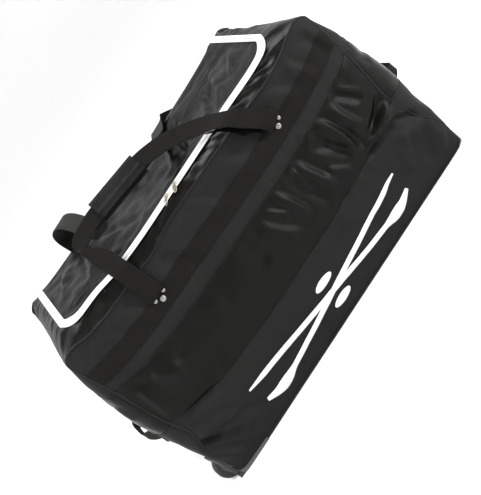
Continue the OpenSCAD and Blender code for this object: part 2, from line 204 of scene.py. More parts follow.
def dress(obj, material, slot, *nodes, body="bag"):
    """A piece's material, its slot (not used), the CAD nodes it stands for and the body it rides on.
    """
    paint(obj, material)
    if nodes:
        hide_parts(*nodes)
    if body:
        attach(obj, body)
    return obj


def ribbon(name, path, face, width, thick, edge=0.35):
    """A strap along path: face is the outward side at each point. Its section is a flat
    lens-cornered rectangle, and its UVs run along and across in metres."""
    t = unit(np.gradient(path, axis=0))
    a = unit(np.cross(t, face))
    o = np.cross(a, t)
    half, rim = np.ones(len(path))[:, None] * np.reshape(width, (-1, 1)) / 2, thick / 2
    across = [-1, -0.97, -0.9, -0.5, 0, 0.5, 0.9, 0.97, 1]
    top = [(k, edge if abs(k) == 1 else 0.8 if abs(k) == 0.97 else 1.0) for k in across]
    section = top + [(k, -h) for k, h in reversed(top)]
    rings = []
    for k, h in section:
        rings.append(path + a * half * k + o * rim * h)
    grid = np.stack(rings, axis=1)
    rows, cols = grid.shape[:2]
    faces = [(r * cols + c, (r + 1) * cols + c, (r + 1) * cols + (c + 1) % cols,
              r * cols + (c + 1) % cols) for r in range(rows - 1) for c in range(cols)]
    faces.append(tuple(range(cols)))
    faces.append(tuple(range((rows - 1) * cols, rows * cols))[::-1])
    run = np.concatenate([[0], np.cumsum(np.linalg.norm(np.diff(path, axis=0), axis=1))])
    wide = half * np.array([k for k, _ in section])[None]
    uvs = np.stack([np.repeat(run, cols), wide.ravel()], 1)
    return mesh_object(name, grid.reshape(-1, 3), faces, uvs)


def tube(name, path, radius, sides=10, closed=False):
    """A round tube along a path."""
    if closed:
        t = unit(np.roll(path, -1, 0) - np.roll(path, 1, 0))
    else:
        t = unit(np.gradient(path, axis=0))
    ref = np.array([0, 1.0, 0]) if abs(t[:, 1]).mean() < 0.7 else np.array([0, 0, 1.0])
    a = unit(np.cross(t, ref))
    b = np.cross(a, t)
    ring = np.linspace(0, 2 * math.pi, sides, endpoint=False)
    grid = path[:, None] + radius * (np.cos(ring)[None, :, None] * a[:, None]
                                     + np.sin(ring)[None, :, None] * b[:, None])
    n, m = grid.shape[:2]
    faces = []
    for i in range(n if closed else n - 1):
        j = (i + 1) % n
        for k in range(m):
            l = (k + 1) % m
            faces.append((i * m + k, i * m + l, j * m + l, j * m + k))
    if not closed:
        faces.append(tuple(range(m))[::-1])
        faces.append(tuple(range((n - 1) * m, n * m)))
    return mesh_object(name, grid.reshape(-1, 3), faces)


def lathe(profile, centre, axis, count=32):
    """Vertices and faces of a solid of revolution; profile is (radius, height) pairs."""
    axis = unit(axis)
    side = unit(np.cross(axis, [0.31, 0.2, 0.93]))
    other = np.cross(axis, side)
    verts, faces = [], []
    for r, h in profile:
        for k in range(count):
            ang = 2 * math.pi * k / count
            verts.append(np.array(centre) + axis * h
                         + r * (math.cos(ang) * side + math.sin(ang) * other))
    for i in range(len(profile) - 1):
        for k in range(count):
            l = (k + 1) % count
            faces.append((i * count + k, i * count + l, (i + 1) * count + l, (i + 1) * count + k))
    faces.append(tuple(range(count))[::-1])
    top = (len(profile) - 1) * count
    faces.append(tuple(range(top, top + count)))
    return verts, faces


def merged(name, parts):
    """One mesh from several (verts, faces) lists."""
    verts, faces = [], []
    for v, f in parts:
        base = len(verts)
        verts += list(v)
        faces += [tuple(i + base for i in q) for q in f]
    return mesh_object(name, verts, faces)


def stitches(name, rows, material, body, pitch=3.6 * MM, length=2.6 * MM, r=0.34 * MM):
    """Rows of thread along paths: each row is (points, outward normals)."""
    parts = []
    for path, normal in rows:
        steps = np.linalg.norm(np.diff(path, axis=0), axis=1)
        run = np.concatenate([[0], np.cumsum(steps)])
        for s in np.arange(pitch / 2, run[-1], pitch):
            ends = [np.array([np.interp(s + d, run, path[:, k]) for k in range(3)])
                    for d in (-length / 2, 0, length / 2)]
            n = unit([np.interp(s, run, normal[:, k]) for k in range(3)])
            t = unit(ends[2] - ends[0])
            w = np.cross(t, n)
            verts = []
            for point, lift, fat in zip(ends, (0.0, 0.5 * r, 0.0), (0.5, 1.0, 0.5)):
                for ca, sa in ((1, 0), (0, 1), (-1, 0), (0, -1)):
                    verts.append(point + n * (lift + sa * r * fat) + w * ca * r * fat)
            faces = [(i + k, i + (k + 1) % 4, i + 4 + (k + 1) % 4, i + 4 + k)
                     for i in (0, 4) for k in range(4)]
            faces += [(3, 2, 1, 0), (8, 9, 10, 11)]
            parts.append((verts, faces))
    obj = merged(name, parts)
    paint(obj, material)
    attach(obj, body)
    return obj


# ------------------------------------------------------------------ materials


class Shader:
    """A Principled material with small helpers for its nodes."""

    def __init__(self, name, color, rough, **sockets):
        self.mat = bpy.data.materials.new(name)
        self.mat.use_nodes = True
        self.tree = self.mat.node_tree
        self.bsdf = self.tree.nodes["Principled BSDF"]
        self.set("Base Color", (*color, 1))
        self.set("Roughness", rough)
        for key, value in sockets.items():
            self.set(key.replace("_", " "), value)
        self.coord = self.new("ShaderNodeTexCoord")

    def set(self, socket, value):
        self.bsdf.inputs[socket].default_value = value

    def new(self, kind, **props):
        node = self.tree.nodes.new(kind)
        for k, v in props.items():
            setattr(node, k, v)
        return node

    def link(self, a, b):
        self.tree.links.new(a, b)

    def mapped(self, scale, source="Object", rotation=(0, 0, 0)):
        node = self.new("ShaderNodeMapping")
        node.inputs["Scale"].default_value = scale
        node.inputs["Rotation"].default_value = rotation
        self.link(self.coord.outputs[source], node.inputs["Vector"])
        return node.outputs["Vector"]

    def noise(self, vector, scale, detail=4.0, rough=0.55):
        node = self.new("ShaderNodeTexNoise")
        node.inputs["Scale"].default_value = scale
        node.inputs["Detail"].default_value = detail
        node.inputs["Roughness"].default_value = rough
        self.link(vector, node.inputs["Vector"])
        return node.outputs["Fac"]

    def wave(self, vector, scale, direction="X", profile="SIN", distort=0.0):
        node = self.new("ShaderNodeTexWave", wave_type="BANDS", bands_direction=direction,
                        wave_profile=profile)
        node.inputs["Scale"].default_value = scale
        node.inputs["Distortion"].default_value = distort
        self.link(vector, node.inputs["Vector"])
        return node.outputs["Fac"]

    def math(self, op, a, b=None):
        node = self.new("ShaderNodeMath", operation=op)
        for i, value in enumerate((a, b)):
            if value is None:
                continue
            if isinstance(value, (int, float)):
                node.inputs[i].default_value = value
            else:
                self.link(value, node.inputs[i])
        return node.outputs[0]

    def ramp(self, fac, *stops):
        node = self.new("ShaderNodeValToRGB")
        ramp = node.color_ramp
        while len(ramp.elements) < len(stops):
            ramp.elements.new(0.5)
        for e, (pos, c) in zip(ramp.elements, stops):
            e.position = pos
            e.color = (*c, 1) if len(c) == 3 else c
        self.link(fac, node.inputs[0])
        return node.outputs["Color"]

    def span(self, fac, low, high):
        node = self.new("ShaderNodeMapRange")
        node.inputs["To Min"].default_value = low
        node.inputs["To Max"].default_value = high
        self.link(fac, node.inputs["Value"])
        return node.outputs["Result"]

    def bump(self, *layers):
        """Stacks (height, distance, strength) layers into the normal."""
        last = None
        for height, distance, strength in layers:
            node = self.new("ShaderNodeBump")
            node.inputs["Distance"].default_value = distance
            node.inputs["Strength"].default_value = strength
            self.link(height, node.inputs["Height"])
            if last is not None:
                self.link(last, node.inputs["Normal"])
            last = node.outputs["Normal"]
        self.link(last, self.bsdf.inputs["Normal"])


def fabric(name, color, rough, weave, sheen=0.0, ior=1.25, tone=0.25, crumple=0.0,
           source="Object"):
    """Woven cloth: two crossing yarns at weave metres, mottled colour and worn sheen."""
    s = Shader(name, color, rough, IOR=ior, Sheen_Weight=sheen, Sheen_Roughness=0.45)
    v = s.mapped((1, 1, 1), source)
    k = 1.0 / weave / 6.283
    warp = s.wave(v, k, "X")
    weft = s.wave(v, k, "Y" if source == "UV" else "Z")
    other = weft if source == "UV" else s.math("MAXIMUM", weft, s.wave(v, k, "Y"))
    yarn = s.math("MULTIPLY", warp, other)
    blotch = s.noise(v, 9.0, 5.0, 0.6)
    fine = s.noise(v, 160.0, 3.0)
    dark = tuple(c * (1 - tone) for c in color)
    light = tuple(min(1, c * (1 + tone)) for c in color)
    mixed = s.math("ADD", s.math("MULTIPLY", blotch, 0.75), s.math("MULTIPLY", fine, 0.25))
    s.link(s.ramp(mixed, (0.3, dark), (0.5, color), (0.72, light)), s.bsdf.inputs["Base Color"])
    s.link(s.span(s.math("ADD", s.math("MULTIPLY", blotch, 0.6),
                         s.math("MULTIPLY", fine, 0.4)), rough - 0.1, rough + 0.12),
           s.bsdf.inputs["Roughness"])
    layers = [(yarn, weave * 0.35, 0.5), (fine, 0.0004, 0.25)]
    if crumple:
        layers.insert(0, (s.noise(v, 22.0, 6.0, 0.6), crumple, 0.6))
    s.bump(*layers)
    return s.mat


def webbing(name, color, rough=0.62):
    """Flat webbing: ribs across the strap in a herringbone."""
    s = Shader(name, color, rough, IOR=1.16, Sheen_Weight=0.03, Sheen_Roughness=0.4)
    v = s.mapped((1, 1, 1), "UV")
    ribs = s.wave(v, 1 / 0.0016 / 6.283, "X", "SIN")
    yarn = s.wave(v, 1 / 0.0011 / 6.283, "Y", "SIN")
    chevron = s.wave(s.mapped((1, 1, 1), "UV", (0, 0, math.radians(38))), 1 / 0.002 / 6.283, "X")
    worn = s.noise(s.mapped((1, 1, 1), "Object"), 30.0, 5.0)
    tint = s.math("ADD", s.math("MULTIPLY", ribs, 0.35), s.math("MULTIPLY", worn, 0.65))
    dark = tuple(c * 0.55 for c in color)
    light = tuple(c * 1.5 for c in color)
    s.link(s.ramp(tint, (0.2, dark), (0.5, color), (0.85, light)), s.bsdf.inputs["Base Color"])
    s.link(s.span(worn, rough - 0.1, rough + 0.15), s.bsdf.inputs["Roughness"])
    s.bump((s.math("ADD", ribs, s.math("MULTIPLY", chevron, 0.6)), 0.0005, 0.6),
           (yarn, 0.0003, 0.5))
    return s.mat


def metal(name, color, rough):
    s = Shader(name, color, rough, Metallic=1.0)
    v = s.mapped((1, 1, 1))
    scratch = s.noise(s.mapped((1, 12, 1)), 260.0, 3.0)
    cloud = s.noise(v, 60.0, 4.0)
    s.link(s.span(s.math("ADD", s.math("MULTIPLY", scratch, 0.5), s.math("MULTIPLY", cloud, 0.5)),
                  rough - 0.08, rough + 0.16), s.bsdf.inputs["Roughness"])
    s.link(s.ramp(cloud, (0.3, tuple(c * 0.8 for c in color)), (0.7, color)),
           s.bsdf.inputs["Base Color"])
    s.bump((scratch, 0.00008, 0.4))
    return s.mat


def plastic(name, color, rough, grain=900.0, spec=0.45):
    s = Shader(name, color, rough, Specular_IOR_Level=spec)
    v = s.mapped((1, 1, 1))
    fine = s.noise(v, grain, 2.0)
    scuff = s.noise(s.mapped((1, 1, 5)), 45.0, 6.0, 0.65)
    s.link(s.ramp(scuff, (0.35, tuple(c * 0.75 for c in color)), (0.55, color),
                  (0.8, tuple(c * 1.45 for c in color))), s.bsdf.inputs["Base Color"])
    s.link(s.span(scuff, rough - 0.08, rough + 0.2), s.bsdf.inputs["Roughness"])
    s.bump((scuff, 0.0002, 0.3), (fine, 0.0001, 0.5))
    return s.mat


MATTE = fabric("matte_fabric", (0.0102, 0.0105, 0.0099), 0.57, 0.0009, sheen=0.02, ior=1.17,
               tone=0.2, crumple=0.002)
SATIN = fabric("satin_fabric", (0.0036, 0.0034, 0.003), 0.31, 0.0006, ior=1.2,
               tone=0.15, crumple=0.0013)
# a darker, less reflective copy of the satin for the lid alone: painted shade that damps the lid's
# reflection of the bright surroundings
SHADED_LID_SATIN = fabric("lid_satin_painted_shade", (0.0032, 0.0031, 0.003), 0.31, 0.0006, ior=1.105,
                   tone=0.15, crumple=0.0011)
WEB = webbing("webbing", (0.0062, 0.0058, 0.005))
# near-black, barely reflecting cloth: painted shade for the shadow under the front strap's curled edge
STRAP_SHADE = fabric("strap_painted_shade", (0.0014, 0.0014, 0.0014), 0.7, 0.0009, ior=1.05)
PIPING = fabric("piping", (0.004, 0.004, 0.0042), 0.45, 0.001, ior=1.3)
ZIP_TAPE = fabric("zip_tape", (0.8, 0.8, 0.81), 0.75, 0.0011, sheen=0.2, ior=1.3, tone=0.06,
                  source="UV")
ZIP_COIL = plastic("zip_coil", (0.6, 0.6, 0.62), 0.42)
NICKEL = metal("nickel", (0.62, 0.57, 0.46), 0.26)
RIVET = metal("rivet_nickel", (0.32, 0.31, 0.3), 0.28)
STEEL = metal("steel", (0.55, 0.55, 0.56), 0.3)
HOUSING = plastic("housing_plastic", (0.014, 0.014, 0.0145), 0.5)
TRIM = plastic("trim_plastic", (0.055, 0.055, 0.056), 0.42)
BOARD = plastic("board", (0.012, 0.012, 0.013), 0.6)
TYRE = plastic("tyre", (0.012, 0.012, 0.013), 0.55, grain=500)
THREAD = fabric("thread", (0.016, 0.016, 0.016), 0.6, 0.0004, ior=1.25)
PRINT = fabric("print", (0.7, 0.7, 0.71), 0.55, 0.0009, ior=1.35, tone=0.05)
CUFF = fabric("cuff_fabric", (0.0085, 0.0085, 0.0085), 0.5, 0.0009, sheen=0.02, ior=1.18,
              tone=0.6, crumple=0.002)

# ------------------------------------------------------------------ the shape of the bag

# the fold of the lid, and the middle line of the zip's coil, from the CAD
COIL_LOW, COIL_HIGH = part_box("zip_coil")
COIL_HALF = 2 * MM
FOLD_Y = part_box("lid_panel")[1].y
ZIP_Y = COIL_LOW.y + COIL_HALF
ZIP_HALF = (COIL_HIGH.x - COIL_LOW.x) / 2 - COIL_HALF
CORNER_R = 52 * MM
TAPE_OUT = 9 * MM
WALL_CLOTH, TOP_CLOTH, WELT_R = 1.6 * MM, 1.4 * MM, 2.3 * MM

half_right = spline((0, 0.446), (0.03, 0.449), (0.1, 0.461), (0.2, 0.476), (0.26, 0.48),
                    (0.33, 0.474), (0.4, 0.463), (0.455, 0.4525), (0.5, 0.446))
half_left = spline((0, 0.447), (0.03, 0.449), (0.1, 0.459), (0.2, 0.476), (0.26, 0.48),
                   (0.33, 0.475), (0.4, 0.465), (0.455, 0.454), (0.5, 0.446))
half_depth = spline((0, 0.242), (0.03, 0.2435), (0.1, 0.246), (0.157, 0.2465), (0.25, 0.2455),
                    (0.312, 0.2405), (0.4, 0.2305), (0.452, 0.2235), (0.5, 0.218))
squareness = spline((0, 30), (0.05, 22), (0.12, 12), (0.2, 9), (0.28, 9), (0.36, 11),
                    (0.43, 15), (0.5, 18))
belly = spline((0, 0), (0.08, 0.003), (0.2, 0.008), (0.3, 0.006), (0.36, 0.002), (0.45, 0))

seam_left = spline((0, -0.416), (0.006, -0.429), (0.018, -0.4385), (0.04, -0.4435),
                   (0.09, -0.443), (0.12, -0.437), (0.14, -0.427), (0.165, -0.428),
                   (0.2, -0.434), (0.29, -0.4405), (0.344, -0.4435), (0.4, -0.447),
                   (0.455, -0.4525))
seam_right = spline((0, 0.42), (0.006, 0.433), (0.018, 0.442), (0.04, 0.4455), (0.085, 0.44),
                    (0.12, 0.426), (0.15, 0.416), (0.185, 0.41), (0.225, 0.414), (0.27, 0.423),
                    (0.345, 0.436), (0.4, 0.444), (0.455, 0.4505))
front_top = spline((-0.452, 0.449), (-0.444, 0.463), (-0.43, 0.4695), (-0.369, 0.458),
                   (-0.321, 0.4515), (-0.25, 0.4485), (-0.196, 0.446), (-0.161, 0.4435),
                   (-0.12, 0.4495), (-0.09, 0.4525), (-0.007, 0.4525), (0.1, 0.4515),
                   (0.206, 0.449), (0.277, 0.447), (0.348, 0.455), (0.4, 0.467),
                   (0.425, 0.469), (0.44, 0.459), (0.45, 0.447))
high_seam = spline((-0.48, 0.347), (-0.44, 0.345), (-0.371, 0.330), (-0.287, 0.319),
                   (-0.06, 0.3135), (0.21, 0.3125), (0.3, 0.318), (0.391, 0.331), (0.44, 0.342),
                   (0.48, 0.347))
low_seam = spline((-0.48, 0.207), (-0.43, 0.2), (-0.37, 0.181), (-0.31, 0.169),
                  (-0.2, 0.1615), (-0.07, 0.159), (0.143, 0.161), (0.25, 0.166),
                  (0.348, 0.174), (0.4, 0.189), (0.48, 0.202))


def wall_depth(x, z):
    """Distance of the front or rear wall from the middle plane at (x, z)."""
    a = np.where(x > 0, half_right(z), half_left(z))
    k = np.clip(np.abs(x) / a, 0, 0.9999)
    n = squareness(z)
    return half_depth(z) * (1 - k**n) ** (1 / n) + belly(z) * (1 - k * k) ** 2


def end_curve(side, z, count):
    """Points round one end at height z, evenly spaced from the front seam to the rear one."""
    a = half_right(z) if side > 0 else half_left(z)
    n = squareness(z)
    b = half_depth(z)
    x_front = abs(seam_right(z) if side > 0 else seam_left(z))
    x_rear = rear_seam(z)
    ang0 = math.atan2(x_front, wall_depth(x_front * side, z))
    ang1 = math.pi - math.atan2(x_rear, wall_depth(x_rear * side, z))
    ang = np.linspace(ang0, ang1, 160)
    s, c = np.abs(np.sin(ang)), np.abs(np.cos(ang))
    r = ((s / a) ** n + (c / b) ** n) ** (-1 / n)
    x, y = r * np.sin(ang), -r * np.cos(ang)
    x[0], y[0] = x_front, -wall_depth(x_front * side, z)
    x[-1], y[-1] = x_rear, wall_depth(x_rear * side, z)
    return resample(np.stack([side * x, y], axis=1), count)


def rear_seam(z):
    return 0.446 - 0.028 * np.sin(math.pi * np.clip(z / 0.46, 0, 1))


def narrowed(p):
    """Draws the top of the bag in towards the back, where it is shorter than at the front."""
    q = p.copy()
    back = smooth((p[..., 1] + 0.22) / 0.44) * smooth(p[..., 2] / 0.5)
    q[..., 0] *= 1 - np.where(p[..., 0] > 0, 0.088, 0.074) * back
    return q


FRONT_COLS, END_COLS, REAR_COLS = 260, 100, 150
BAND_ROWS = (46, 46, 42)
FOOT = 2 * MM


def end_top(y):
    """Height of the top of an end wall."""
    return 0.449 + 0.034 * smooth((y + 0.225) / 0.45)


def seam_heights(front_u, rear_u):
    """Height of the lower seam, the upper seam and the top edge at each column."""
    seams = []
    for u in front_u:
        x = seam_left(0.25) + (seam_right(0.25) - seam_left(0.25)) * u
        x_top = seam_left(0.45) + (seam_right(0.45) - seam_left(0.45)) * u
        seams.append((low_seam(x), high_seam(x), front_top(x_top)))
    across = 0.45 * np.arange(END_COLS) / END_COLS - 0.225
    for y in across:
        seams.append((low_seam(0.41) + 0.004, high_seam(0.43) + 0.003, end_top(y)))
    for x in 0.43 - 0.86 * rear_u:
        sag = 0.012 * math.cos(math.pi * x / 0.9) ** 2
        seams.append((0.19 - sag, 0.334 - sag, 0.483 - 0.6 * sag))
    for y in -across:
        seams.append((low_seam(-0.43), high_seam(-0.44), end_top(y)))
    low, high, top = np.array(seams, float).T
    # the two seams run smoothly round the corners
    kernel = np.hanning(15) / np.hanning(15).sum()
    low, high = (np.convolve(np.concatenate([v[-12:], v, v[:12]]), kernel, "same")[12:-12]
                 for v in (low, high))
    return low, high, top


def build_wall():
    """The closed grid of all the walls: rows go up, columns go round from the front left
    seam. Returns it with the first row of each band and the first column of each wall."""
    front_u = np.linspace(0, 1, FRONT_COLS + 1)[:-1]
    rear_u = np.linspace(0, 1, REAR_COLS + 1)[:-1]
    t_bands = [fine_steps(n)[:, None] for n in BAND_ROWS]
    low, high, top = seam_heights(front_u, rear_u)
    heights = np.concatenate([FOOT + (low - FOOT) * t_bands[0],
                              low + (high - low) * t_bands[1][1:],
                              high + (top - high) * t_bands[2][1:]])
    rows = len(heights)
    cols = heights.shape[1]
    grid = np.zeros((rows, cols, 3))
    grid[..., 2] = heights
    n_front, n_end = FRONT_COLS, END_COLS
    starts = {"front": 0, "right": n_front, "rear": n_front + n_end,
              "left": n_front + n_end + REAR_COLS}
    # outlines at fixed heights, then each column takes its own height from them
    levels = np.linspace(0, 0.5, 101)
    outline = np.zeros((len(levels), cols, 2))
    for i, z in enumerate(levels):
        xl, xr, rear = float(seam_left(z)), float(seam_right(z)), float(rear_seam(z))
        x = xl + (xr - xl) * front_u
        outline[i, :n_front] = np.stack([x, -wall_depth(x, np.full_like(x, z))], 1)
        right = end_curve(1, z, n_end + 1)
        outline[i, n_front:n_front + n_end] = right[:-1]
        x = rear - 2 * rear * rear_u
        outline[i, starts["rear"]:starts["left"]] = np.stack(
            [x, wall_depth(x, np.full_like(x, z))], 1)
        left = end_curve(-1, z, n_end + 1)[::-1]
        outline[i, starts["left"]:] = left[:-1]
    for c in range(cols):
        for k in (0, 1):
            grid[:, c, k] = np.interp(heights[:, c], levels, outline[:, c, k])
    bands = [0, len(t_bands[0]) - 1, len(t_bands[0]) + len(t_bands[1]) - 2, rows - 1]
    return narrowed(grid), bands, starts


# ------------------------------------------------------------------ folds in the cloth


def fold(p, q, a, b, width, height, lean=0.35, taper=0.3):
    """A fold from a to b in a wall's own plane: a ridge with a sharper valley beside it."""
    a, b = np.array(a, float), np.array(b, float)
    d = b - a
    length = np.linalg.norm(d)
    d /= length
    s = ((p - a[0]) * d[0] + (q - a[1]) * d[1]) / length
    w = -(p - a[0]) * d[1] + (q - a[1]) * d[0]
    w = w + 0.06 * length * np.sin(s * 2.6 + a[0] * 40)
    ends = smooth((s + 0.02) / taper) * smooth((1.02 - s) / taper)
    ridge = np.exp(-((w / width) ** 2))
    valley = np.exp(-(((w - width * 1.1) / (width * 0.55)) ** 2))
    return height * ends * (ridge - lean * valley)


FRONT_FOLDS = [
    # soft upright folds in the right half of the middle band
    ((0.02, 0.30), (0.06, 0.19), 0.016, 0.0035),
    ((0.085, 0.305), (0.1, 0.20), 0.012, 0.0042),
    ((0.13, 0.30), (0.165, 0.18), 0.014, -0.0035),
    ((0.175, 0.305), (0.19, 0.19), 0.013, 0.0048),
    ((0.225, 0.30), (0.26, 0.2), 0.012, -0.004),
    ((0.265, 0.31), (0.285, 0.20), 0.011, 0.0052),
    ((0.315, 0.315), (0.33, 0.215), 0.012, 0.004),
    ((0.345, 0.325), (0.375, 0.25), 0.01, -0.0045),
    ((-0.05, 0.30), (-0.03, 0.22), 0.018, -0.0022),
    ((-0.16, 0.30), (-0.2, 0.2), 0.024, 0.0022),
    ((-0.3, 0.31), (-0.36, 0.22), 0.022, 0.0026),
    ((0.05, 0.3), (0.075, 0.24), 0.009, 0.003),
    ((0.155, 0.305), (0.15, 0.23), 0.008, 0.0035),
    ((0.2, 0.24), (0.235, 0.175), 0.012, 0.0035),
    ((0.29, 0.25), (0.305, 0.185), 0.01, -0.0035),
    ((0.245, 0.31), (0.25, 0.25), 0.007, -0.003),
    ((-0.38, 0.3), (-0.31, 0.24), 0.02, 0.003),
    ((-0.33, 0.25), (-0.24, 0.19), 0.022, -0.0028),
    # the puffed tuck and its creases at the right end
    ((0.3, 0.176), (0.405, 0.205), 0.012, 0.0095),
    ((0.27, 0.158), (0.4, 0.168), 0.007, -0.0065),
    ((0.33, 0.2), (0.41, 0.232), 0.009, -0.005),
    ((0.345, 0.14), (0.43, 0.1), 0.013, 0.005),
    ((0.38, 0.165), (0.43, 0.12), 0.008, -0.005),
    # diagonal creases at the lower left
    ((-0.436, 0.128), (-0.385, 0.088), 0.008, -0.005),
    ((-0.43, 0.118), (-0.30, 0.045), 0.014, 0.003),
    ((-0.425, 0.155), (-0.33, 0.09), 0.012, 0.0055),
    ((-0.43, 0.135), (-0.35, 0.045), 0.01, -0.005),
    ((-0.415, 0.19), (-0.3, 0.155), 0.012, -0.004),
    ((-0.44, 0.1), (-0.395, 0.02), 0.011, 0.0045),
    ((-0.4, 0.07), (-0.28, 0.03), 0.014, 0.003),
    ((-0.42, 0.21), (-0.4, 0.31), 0.012, 0.003),
    # slack at the lower right
    ((0.37, 0.14), (0.30, 0.06), 0.017, 0.0036),
    ((0.425, 0.125), (0.355, 0.03), 0.014, -0.0036),
    ((0.25, 0.135), (0.19, 0.07), 0.02, 0.0024),
    ((0.43, 0.07), (0.39, 0.02), 0.012, 0.003),
    # slack below the top edge
    ((-0.045, 0.44), (0.01, 0.395), 0.011, 0.0028),
    ((0.06, 0.44), (0.12, 0.365), 0.02, 0.0026),
    ((0.15, 0.43), (0.22, 0.37), 0.016, -0.0026),
    ((0.24, 0.44), (0.3, 0.36), 0.016, 0.003),
    ((-0.31, 0.44), (-0.26, 0.37), 0.018, 0.0026),
    ((-0.4, 0.44), (-0.33, 0.38), 0.014, 0.003),
    ((-0.17, 0.44), (-0.1, 0.35), 0.018, -0.0035),
    ((-0.1, 0.445), (0.02, 0.36), 0.02, 0.003),
    ((0.33, 0.445), (0.36, 0.36), 0.014, 0.0032),
    ((0.4, 0.45), (0.41, 0.36), 0.012, -0.003),
    ((0.1, 0.14), (0.28, 0.06), 0.026, 0.002),
    ((-0.2, 0.14), (0.0, 0.1), 0.028, 0.002),
]


def random_folds(count, seed, x_span, z_span, steep=0.35):
    """Folds for a wall that the front's own list doesn't cover."""
    rng = np.random.RandomState(seed)
    made = []
    for _ in range(count):
        x, z = rng.uniform(*x_span), rng.uniform(*z_span)
        ang = math.pi / 2 + rng.normal() * steep
        size = rng.uniform(0.05, 0.12)
        end = (x + size * math.cos(ang), z - size * math.sin(ang))
        made.append(((x, z), end, rng.uniform(0.009, 0.02),
                     rng.uniform(0.0018, 0.0045) * rng.choice([-1, 1])))
    return made


def apply_folds(grid, bands, starts):
    """Moves the wall grid along its normals: folds, gathered seams and a slow unevenness."""
    n = normals_of(grid, closed=True)
    x, y, z = grid[..., 0], grid[..., 1], grid[..., 2]
    cols = np.arange(grid.shape[1])
    out = np.zeros(x.shape)
    facing = smooth((-y - 0.16) / 0.05)
    for a, b, width, height in FRONT_FOLDS:
        # deepest under the top edge, next in the middle band and at the lower left
        boost = 2.4 if a[1] > 0.43 else 2.2 if 0.29 < a[1] < 0.33 or a[0] < -0.39 else 1.7
        out += fold(x, z, a, b, width * 1.15, height * boost) * facing
    back = smooth((y - 0.16) / 0.05)
    for a, b, width, height in random_folds(34, 11, (-0.42, 0.42), (0.06, 0.46)):
        out += fold(x, z, a, b, width, height) * back
    for side, seed in ((1, 21), (-1, 22)):
        at_end = smooth((side * x - 0.4) / 0.05)
        for a, b, width, height in random_folds(26, seed, (-0.2, 0.2), (0.05, 0.45), 0.5):
            out += fold(y, z, a, b, width, height) * at_end
    out += waves(grid, 0.19, 3) * 0.0026 + waves(grid, 0.06, 4, 2) * 0.0009
    # gathers on both sides of the two horizontal seams
    for row in bands[1:3]:
        away = z - z[row][None]
        ripple = waves(grid * np.array([1, 1, 0.25]), 0.034, 50 + row, 2)
        out += ripple * 0.0022 * np.exp(-(np.abs(away) / 0.022)) * smooth(np.abs(away) / 0.004)
        out -= 0.0014 * np.exp(-((away / 0.0022) ** 2))
    # the upright seams pull the cloth in
    for c in starts.values():
        gap = np.abs((cols - c + grid.shape[1] // 2) % grid.shape[1] - grid.shape[1] // 2)
        out -= 0.002 * np.exp(-((gap / 0.8) ** 2))[None]
    hold = smooth((z - 0.001) / 0.03)
    rim = z[-1][None] - z
    hold = hold * (0.25 + 0.75 * smooth(rim / 0.03))
    moved = grid + n * (out * hold)[..., None]
    moved[..., 2] = np.maximum(moved[..., 2], 0.0012)
    return moved


WALL, BANDS, STARTS = build_wall()
WALL = apply_folds(WALL, BANDS, STARTS)
LOOP = WALL.shape[1]


def wall_cols(side):
    order = ["front", "right", "rear", "left"]
    first = STARTS[side]
    nxt = order[(order.index(side) + 1) % 4]
    last = STARTS[nxt] if nxt != "front" else LOOP
    return np.arange(first, last + 1) % LOOP


BAND_NAMES = ("lower", "middle", "upper")


def make_walls():
    """Each wall in its three bands, cut from the one closed grid."""
    for side in ("front", "right", "rear", "left"):
        cols = wall_cols(side)
        for i, band in enumerate(BAND_NAMES):
            rows = slice(BANDS[i], BANDS[i + 1] + 1)
            obj = grid_object(f"{side}_{band}_cloth", WALL[rows][:, cols])
            thicken(obj, WALL_CLOTH)
            node = f"{side}_{band}_panel" if side in ("front", "rear") else f"{side}_end_panel"
            if band == "middle":
                dress(obj, SATIN, "satin_fabric", node)
            else:
                dress(obj, MATTE, "matte_fabric", node)


def make_bottom():
    """The flat panel under the bag: the foot of the walls drawn in to the middle."""
    clear_of_floor = 0.6 * MM
    rings = [WALL[0]]
    for k in (0.985, 0.9, 0.6, 0.3, 0.02):
        ring = WALL[0] * [k, k, 0]
        ring[:, 2] = clear_of_floor
        rings.append(ring)
    obj = grid_object("bottom_cloth", np.stack(rings[::-1]), closed=True)
    dress(obj, MATTE, "matte_fabric", "bottom_panel")


make_walls()
make_bottom()

# ------------------------------------------------------------------ the top

zip_front = spline((-0.4, 0.492), (-0.33, 0.4905), (-0.286, 0.4885), (-0.24, 0.482),
                   (-0.195, 0.479), (0, 0.4775), (0.19, 0.478), (0.3, 0.479), (0.34, 0.483),
                   (0.4, 0.49))
top_back = spline((-0.42, 0.506), (-0.385, 0.505), (-0.34, 0.499), (-0.23, 0.495),
                  (0, 0.486), (0.147, 0.484), (0.244, 0.488), (0.33, 0.497), (0.375, 0.505),
                  (0.42, 0.506))


def top_height(x, y):
    t = (y - ZIP_Y) / (FOLD_Y - ZIP_Y)
    base = zip_front(x) * (1 - t) + top_back(x) * t
    base = base + 0.0095 * smooth((y - ZIP_Y + 0.012) / 0.045) - 0.0055
    inside = np.clip(1 - (x / 0.38) ** 2, 0, 1) * np.clip(4 * t * (1 - t), 0, 1)
    return base - 0.004 * inside


def drawn_in(flat):
    """Shifts the zip's legs to where the cloth pulls them: the left one leans in towards
    the back, the right one stands in all the way."""
    back = np.clip((flat[..., 1] - ZIP_Y) / (FOLD_Y - ZIP_Y), 0, 1)
    x = flat[..., 0]
    ends = smooth((np.abs(x) - 0.12) / 0.2)
    out = flat.copy()
    out[..., 0] = x * (1 - np.where(x < 0, 0.052 * back, 0.056) * ends)
    return out


